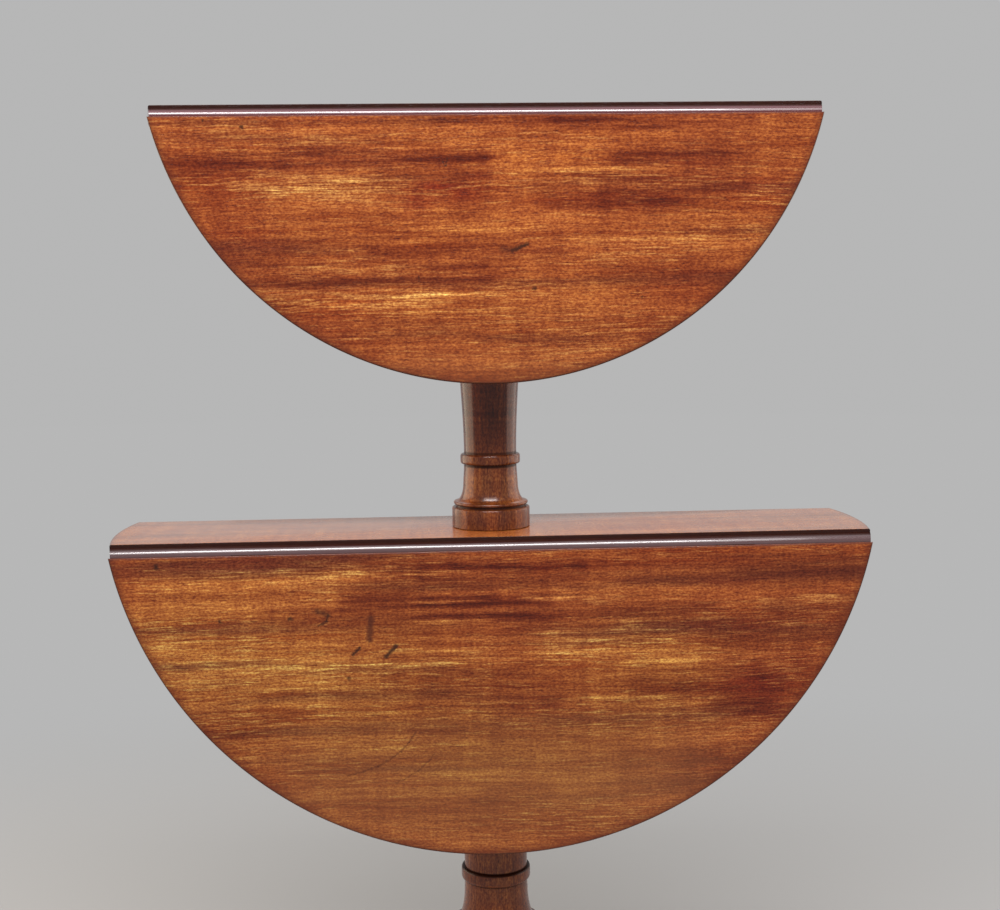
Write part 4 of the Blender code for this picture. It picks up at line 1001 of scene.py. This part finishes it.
# Columns: members at the foot, repeated smaller at the head, and a shaft that swells
upperTurning = dict(drum=0.0345, drumHeight=0.0175, quirk=0.0312, quirkHeight=0.0022, lip=0.0330,
                    lipHeight=0.0030, spring=0.0312, cavetto=0.0155, neck=0.0243, ringNeck=0.0232,
                    ringLow=0.056, ringHigh=0.065, ring=0.0265, belly=0.0276, bellyHeight=0.180)
lowerTurning = dict(drum=0.0415, drumHeight=0.0100, quirk=0.0378, quirkHeight=0.0024, lip=0.0397,
                    lipHeight=0.0030, spring=0.0378, cavetto=0.0310, neck=0.0288, ringNeck=0.0284,
                    ringLow=-0.3237, ringHigh=-0.3123, ring=0.0313, belly=0.0335, bellyHeight=-0.190)
capitalShrink, drumArris = 0.94, 0.0004
fittings = dict(spigot=0.015, spigotDepth=0.045, tenon=0.013, hub=0.045, hubTop=0.241,
                hubBottom=0.158, hubArris=0.004, hubFootArris=0.0006)


def swell(low, high, count=28):
    # S-curve between two points, flat at both its ends
    s = np.linspace(0, 1, count)
    b = (1 - np.cos(math.pi * s)) / 2
    return np.stack([low[0] + (high[0] - low[0]) * b, low[1] + (high[1] - low[1]) * s], -1)


def footMouldings(size, foot):
    # top to bottom: cavetto, lip, quirk and drum
    drumTop = foot + size["drumHeight"]
    lipLow = drumTop + size["quirkHeight"]
    lipTop, lipHalf = lipLow + size["lipHeight"], size["lipHeight"] / 2
    return np.concatenate([
        bow((size["spring"], lipTop + size["cavetto"]),
            (size["spring"] - size["neck"], size["cavetto"]), math.pi, 3 * quarter),
        bow((size["lip"] - lipHalf, lipLow + lipHalf), (lipHalf, lipHalf), quarter, -quarter, 10),
        [(size["quirk"], lipLow), (size["quirk"], drumTop)],
        bow((size["drum"] - lipHalf, drumTop - lipHalf), (lipHalf, lipHalf), quarter, 0, 7),
        [(size["drum"], foot + drumArris), (size["drum"] - drumArris, foot)]])


def ringMoulding(size, low, high):
    # band with rounded corners: the cosine outwards and the sine in height, both to the power 0.5
    half, t = (high - low) / 2, np.linspace(quarter, -quarter, 21)
    out, rise = np.clip(np.cos(t), 0, 1) ** 0.5, np.sign(t) * np.abs(np.sin(t)) ** 0.5
    return np.stack([size["ringNeck"] + (size["ring"] - size["ringNeck"]) * out,
                     low + half + half * rise], -1)


def columnProfile(size, foot, head, level):
    # outer side from the head to the foot, heights of the ring and belly taken from a level
    small = {name: value * capitalShrink for name, value in size.items()}
    lowRing, highRing = level + size["ringLow"], level + size["ringHigh"]
    capital = footMouldings(small, foot)[::-1] * (1, -1) + (0, foot + head)
    ringSize = (highRing - lowRing) * capitalShrink
    topRing = head - (lowRing - foot) * capitalShrink
    belly = (size["belly"], level + size["bellyHeight"])
    return np.concatenate([
        capital, ringMoulding(small, topRing - ringSize, topRing),
        swell(belly, (small["ringNeck"], topRing - ringSize))[::-1],
        swell((size["ringNeck"], highRing), belly)[::-1][1:],
        ringMoulding(size, lowRing, highRing), footMouldings(size, foot)])


lowerTop, upperTop = tiers["lower"]["top"], tiers["upper"]["top"]
below = joint["thickness"] + supports["blockThickness"]
spigot, tenon = fittings["spigot"], fittings["tenon"]
head = upperTop - below - 2 * gap
tenonTop = head + supports["blockThickness"]
spigotFoot = lowerTop - below - gap - fittings["spigotDepth"]
upperProfile = np.concatenate([
    [(pole, tenonTop), (tenon, tenonTop), (tenon, head)],
    columnProfile(upperTurning, lowerTop + gap, head, lowerTop),
    [(spigot, lowerTop + gap), (spigot, spigotFoot), (pole, spigotFoot)]])
head = lowerTop - below - 2 * gap
boreFoot, bore = head - fittings["spigotDepth"] - gap, spigot + gap
hub, hubTop, hubFoot, arris, footArris = (
    fittings[name] for name in ("hub", "hubTop", "hubBottom", "hubArris", "hubFootArris"))
lowerProfile = np.concatenate([
    [(pole, boreFoot), (bore, boreFoot), (bore, head)],
    columnProfile(lowerTurning, hubTop, head, lowerTop),
    bow((hub - arris, hubTop - arris), (arris, arris), quarter, 0, 8),
    [(hub, hubFoot + footArris), (hub - footArris, hubFoot), (pole, hubFoot)]])
for node, profile in (("upper_column", upperProfile), ("lower_column", lowerProfile)):
    dress(node, [turnedShell(profile[::-1], 160)], columnWood)
print("columns made")


# Tripod: three sabre legs with cap castors
leg = dict(start=0.030, reach=0.262, rootHeight=0.213, toeHeight=0.060, bend=1.75, rootDepth=0.052,
           rootWidth=0.030, toe=0.022, toeLength=0.034, corner=0.0055, steps=90, inHub=0.006,
           shortOfCap=0.002, grainStep=0.7)
castor = dict(capWall=0.0018, capFloor=0.0033, capBead=0.0012, beadLength=0.003, capArris=0.003,
              boss=0.0095, bossHeight=0.004, swivelIn=0.013, trail=0.012, wheel=0.0165,
              wheelWidth=0.013, crown=0.0105, crownHeight=0.0035, cheek=0.002, sideGap=0.0005,
              eye=0.0048, fore=0.006, aft=0.009, axle=0.002, axleHead=0.0034, axleProud=0.0012,
              stem=0.0035, arris=0.0008, shoulder=0.0013, dish=0.0018, crowning=0.0008,
              capCorner=0.0025, capSide=0.012, bossFlare=0.0012, bossRise=0.001,
              cheekArris=0.0003, aftSweep=0.0045, aftRise=0.004, foreSweep=0.0035, domeTip=0.00005,
              nave=(0.0050, 0.0056, 0.0068), rimShares=(0.70, 0.76, 0.79), edgeDrop=0.0006)
reach, toeHeight, toeHalf = leg["reach"], leg["toeHeight"], leg["toe"] / 2
toeEnd = reach + leg["toeLength"]
swivelX = toeEnd - castor["swivelIn"]
capLow = toeHeight - toeHalf - castor["capFloor"]
capHigh = toeHeight + toeHalf + castor["capWall"]
crownTop = capLow - castor["bossHeight"] - gap
crownLow = crownTop - castor["crownHeight"]


def legStations():
    # centre line falls as (1 - s)^bend; upper and lower lines stand off it squarely
    s = np.linspace(0, 1, leg["steps"])
    run, drop = reach - leg["start"], leg["rootHeight"] - toeHeight
    centre = np.stack([leg["start"] + run * s, toeHeight + drop * (1 - s) ** leg["bend"]], -1)
    slope = -leg["bend"] * drop / run * (1 - s) ** (leg["bend"] - 1)
    half = (leg["rootDepth"] + (leg["toe"] - leg["rootDepth"]) * s) / 2
    across = unit(np.stack([-slope, np.ones_like(s)], -1)) * half[:, None]
    places = np.concatenate([np.linspace(hub - leg["inHub"], reach, leg["steps"]),
                             [toeEnd - leg["shortOfCap"]]])
    low, high = (np.interp(places, *np.concatenate([centre + way * across,
                                                    [(toeEnd, toeHeight + way * toeHalf)]]).T)
                 for way in (-1, 1))
    wide = leg["toe"] + (leg["rootWidth"] - leg["toe"]) * (reach - places) / (reach - hub)
    return np.stack([places, wide / 2, low, high], -1)


def legGrain(stations, points):
    # place along the leg, across it and above its middle, for the grain
    middle = (stations[:, 2] + stations[:, 3]) / 2
    along = np.concatenate([[0], np.cumsum(np.hypot(np.diff(stations[:, 0]), np.diff(middle)))])
    return np.stack([np.interp(points[:, 0], stations[:, 0], along), points[:, 1],
                     points[:, 2] - np.interp(points[:, 0], stations[:, 0], middle)], -1)


def capShells():
    # cap: a bead at its mouth, plain sides and a rounded end, with a boss for the swivel
    t, turn = np.linspace(0, math.pi, 11), np.linspace(0, quarter, 7)
    bead, arris, boss = castor["beadLength"] / 2, castor["capArris"], castor["boss"]
    x = np.concatenate([reach + bead - bead * np.cos(t), [reach + castor["capSide"]],
                        toeEnd + castor["capWall"] - arris * (1 - np.sin(turn))])
    grow = np.concatenate([castor["capBead"] * np.sin(t), [0], -arris * (1 - np.cos(turn))])
    rows = np.stack([x, toeHalf + castor["capWall"] + grow, capLow - grow, capHigh + grow], -1)
    bossFoot, soft = capLow - castor["bossHeight"], castor["arris"]
    rise, flared = castor["bossRise"], boss + castor["bossFlare"]
    profile = [(boss - soft, bossFoot), (boss, bossFoot + soft), (boss, capLow - rise),
               (flared, capLow), (flared, capLow + rise)]
    return [barShell(rows, castor["capCorner"]),
            moved(turnedShell(profile, 48), shift=(swivelX, 0, 0))]


def forkShells():
    # crown turned about the swivel, and two cheeks that sweep back to the axle
    crown, stem, soft = castor["crown"], castor["stem"], castor["arris"]
    stemTop, middle = capLow + castor["capFloor"], (crownTop + crownLow) / 2
    turned = turnedShell([(pole, crownLow), (crown - soft, crownLow), (crown, crownLow + soft),
                          (crown, crownTop - soft), (crown - soft, crownTop), (stem, crownTop),
                          (stem, stemTop), (pole, stemTop)], 48)
    eye, axleX, axleZ = castor["eye"], -castor["trail"], castor["wheel"]
    aft, fore, mean = (-castor["aft"], middle), (castor["fore"], middle), (middle + axleZ) / 2
    t, eyeAft, eyeFore = np.linspace(0, 1, 12)[1:-1, None], axleX - eye, axleX + eye
    aftBend = (aft[0] - castor["aftSweep"], mean + castor["aftRise"])
    outline = np.concatenate([
        [aft], bezier(aft, aftBend, (eyeAft, axleZ), t),
        bow((axleX, axleZ), (eye, eye), math.pi, math.tau, 18),
        bezier((eyeFore, axleZ), (eyeFore + castor["foreSweep"], mean), fore, t), [fore]])
    plate = moved(plateShell(outline, castor["cheek"], castor["cheekArris"]), spun(quarter, "X"))
    off = castor["wheelWidth"] / 2 + castor["sideGap"] + castor["cheek"] / 2
    return [turned] + [moved(plate, shift=(0, side * off, 0)) for side in (-1, 1)]


def axleShell():
    # pin through both cheeks with riveted domes
    axle, knob = castor["axle"], castor["axleHead"]
    neck = castor["wheelWidth"] / 2 + castor["sideGap"] + castor["cheek"] + gap / 2
    dome = bow((castor["domeTip"], neck), (knob, castor["axleProud"]), 0, quarter, 6)[1:]
    half = np.concatenate([[(axle, 0), (axle, neck), (knob, neck)], dome])
    return turnedShell(np.concatenate([half[::-1] * (1, -1), half[1:]]), 28)


def wheelShell():
    # crowned tread with rounded shoulders, dished sides and a hub, bored for the axle
    half, rim, bore = castor["wheelWidth"] / 2, castor["wheel"], castor["axle"] + gap
    shoulder, dish, crowning = castor["shoulder"], castor["dish"], castor["crowning"]
    t, edge, floor = np.linspace(0, quarter, 6), half - castor["edgeDrop"], half - dish
    outwards = [bore, *castor["nave"], *(rim * share for share in castor["rimShares"])]
    side = np.concatenate([
        list(zip(outwards, (half, half, edge, floor, floor, edge, half))),
        np.stack([rim - crowning - shoulder * (1 - np.sin(t)),
                  half - shoulder * (1 - np.cos(t))], -1)])
    tread = np.linspace(half - shoulder, -(half - shoulder), 9)[1:-1]
    crown = np.stack([rim - crowning * (tread / half) ** 2, tread], -1)
    loop = np.concatenate([side, crown, side[::-1] * (1, -1)])[::-1]
    quads = gridQuads(len(loop), 72, closed=True)
    return (around(*loop.T, 72).reshape(-1, 3), quads.ravel(), np.full(len(quads), 4),
            np.ones(len(quads), bool))


stations = legStations()
legBar = barShell(stations, leg["corner"], 7)
cap, fork, axle, wheel = capShells(), forkShells(), axleShell(), wheelShell()
axlePlace = (swivelX - castor["trail"], 0, castor["wheel"])
for i, angle in enumerate(thirds):
    turn, shift = spun(angle), (swivelX, 0, 0)
    dress(f"leg_{i + 1}", [moved(legBar, turn)], legWood,
          grain=legGrain(stations, legBar[0]) + (leg["grainStep"] * i, 0, 0))
    dress(f"toe_cap_{i + 1}", [moved(shell, turn) for shell in cap], brass)
    dress(f"castor_fork_{i + 1}", [moved(moved(shell, shift=shift), turn) for shell in fork],
          brass)
    for name, shell, metal, slotName in (("axle", axle, iron, "iron"),
                                         ("wheel", wheel, brass, "brass")):
        dress(f"castor_{name}_{i + 1}", [moved(moved(shell, spun(quarter, "X"), axlePlace), turn)],
              metal)

# Plate under the hub, with its three screws
hubPlate = dict(thickness=0.0025, inFromHub=0.003, screwRing=0.026, inset=0.0001, arris=0.0006,
                topArris=0.0003, play=0.0002, holeDepth=0.006, holeAbove=0.0015, screwTurn=0.8)
plateScrew = dict(head=0.0042, sink=0.0025, shank=0.0020, length=0.018)
top, wide = hubFoot - gap, hub - hubPlate["inFromHub"]
foot, inset = top - hubPlate["thickness"], hubPlate["inset"]
arris, topArris = hubPlate["arris"], hubPlate["topArris"]
spots = [(hubPlate["screwRing"] * math.cos(a + math.pi / 3),
          hubPlate["screwRing"] * math.sin(a + math.pi / 3)) for a in thirds]
hole = screwHole(plateScrew, hubPlate["play"], inset, hubPlate["holeDepth"], hubPlate["holeAbove"])
driven = screwShell(**plateScrew)
plate = turnedShell([(pole, foot), (wide - arris, foot), (wide, foot + arris), (wide, top - topArris),
                     (wide - topArris, top), (pole, top)], 96)
dress("hub_plate", [plate], iron, [moved(hole, shift=(x, y, foot)) for x, y in spots])
for i, (x, y) in enumerate(spots):
    dress(f"hub_plate_screw_{i + 1}",
          [moved(driven, spun(hubPlate["screwTurn"] * i), (x, y, foot + inset))], iron)
print("tripod made")


# Stage: pale floor that turns into the backdrop's tone, soft lamps and an even world
stageLook = dict(tone=0.385, seen=0.474, rings=(0.01, 0.5, 1, 2, 4, 9), fadeFrom=0.5, fadeTo=1.9)
lamps = {
    "keyLight": dict(place=(-0.08, -1.50, 2.44), size=(1.90, 1.20), power=32.0, tint=(1, 0.98, 0.98)),
    "coreLight": dict(place=(-0.08, -1.44, 2.49), size=(1.40, 0.36), power=34.0, tint=(1, 0.98, 0.98)),
    "ceilingLight": dict(place=(0, -0.30, 3.1), size=(2.6, 1.3), power=12.0, tint=(0.95, 0.96, 1)),
    "leftLight": dict(place=(-1.95, 0.60, 0.90), size=(2.3, 1.7), power=31.0, tint=(1, 0.83, 0.62)),
    "rightLight": dict(place=(1.95, 0.50, 0.90), size=(2.3, 1.7), power=18.0, tint=(1, 0.90, 0.80)),
    "backLight": dict(place=(0.3, 2.2, 2.4), size=(2.2, 1.0), power=10.0, tint=(1, 1, 1)),
}
world = dict(seen=0.472, light=0.34)


def makeFloor(look, steps=96):
    # level rings about the origin, facing up; clear to the eye and to light from below
    rings = around(look["rings"], np.zeros(len(look["rings"])), steps)
    quads = gridQuads(len(look["rings"]), steps)[:, ::-1]
    mesh = bpy.data.meshes.new("floor")
    mesh.from_pydata(rings.reshape(-1, 3).tolist(), [], quads.tolist() + [list(range(steps))])
    material, tree, shader = newMaterial("floorTone")
    fade = ramped(vector("LENGTH", objectPlace(tree)), look["fadeFrom"], look["fadeTo"])
    feed(shader, {"Base Color": (look["tone"],) * 3 + (1,), "Roughness": 0.9})
    glow = addNode(tree, "Emission", {"Color": (look["seen"],) * 3 + (1,), "Strength": 1.0})
    both = addNode(tree, "MixShader", {0: fade, 1: shader.outputs[0], 2: glow.outputs[0]})
    side = addNode(tree, "NewGeometry").outputs["Backfacing"]
    clear = addNode(tree, "BsdfTransparent").outputs[0]
    seen = addNode(tree, "MixShader", {0: side, 1: both.outputs[0], 2: clear})
    feed(tree.nodes["Material Output"], {"Surface": seen.outputs[0]})
    mesh.materials.append(material)
    newObject("floor", mesh)


def makeLamp(name, look, aim=(0, 0, 0.72)):
    # rectangle that faces the aim, with its long side level
    data = bpy.data.lights.new(name, "AREA")
    data.shape, (data.size, data.size_y), data.energy = "RECTANGLE", look["size"], look["power"]
    data.color = look["tint"]
    lamp = newObject(name, data)
    back = unit(np.array(look["place"], float) - aim)
    right = unit(np.cross((0, 0, 1), back))
    aimed(lamp, look["place"], right, np.cross(back, right), back)
    lamp.visible_camera = False


def makeWorld(look):
    # even light on the object, and the backdrop's tone to the eye and in reflections
    made = bpy.data.worlds.new("studio")
    bpy.context.scene.world = made
    made.use_nodes = True
    tree = made.node_tree
    rays = addNode(tree, "LightPath").outputs
    shown = most(*(rays[f"Is {kind} Ray"] for kind in ("Camera", "Glossy", "Transmission")))
    strength = addNode(tree, "MapRange", {"Value": shown, "To Min": look["light"],
                                          "To Max": look["seen"]}).outputs[0]
    feed(tree.nodes["Background"], {"Color": (1, 1, 1, 1), "Strength": strength})


makeFloor(stageLook)
for name, look in lamps.items():
    makeLamp(name, look)
makeWorld(world)
print("stage made")
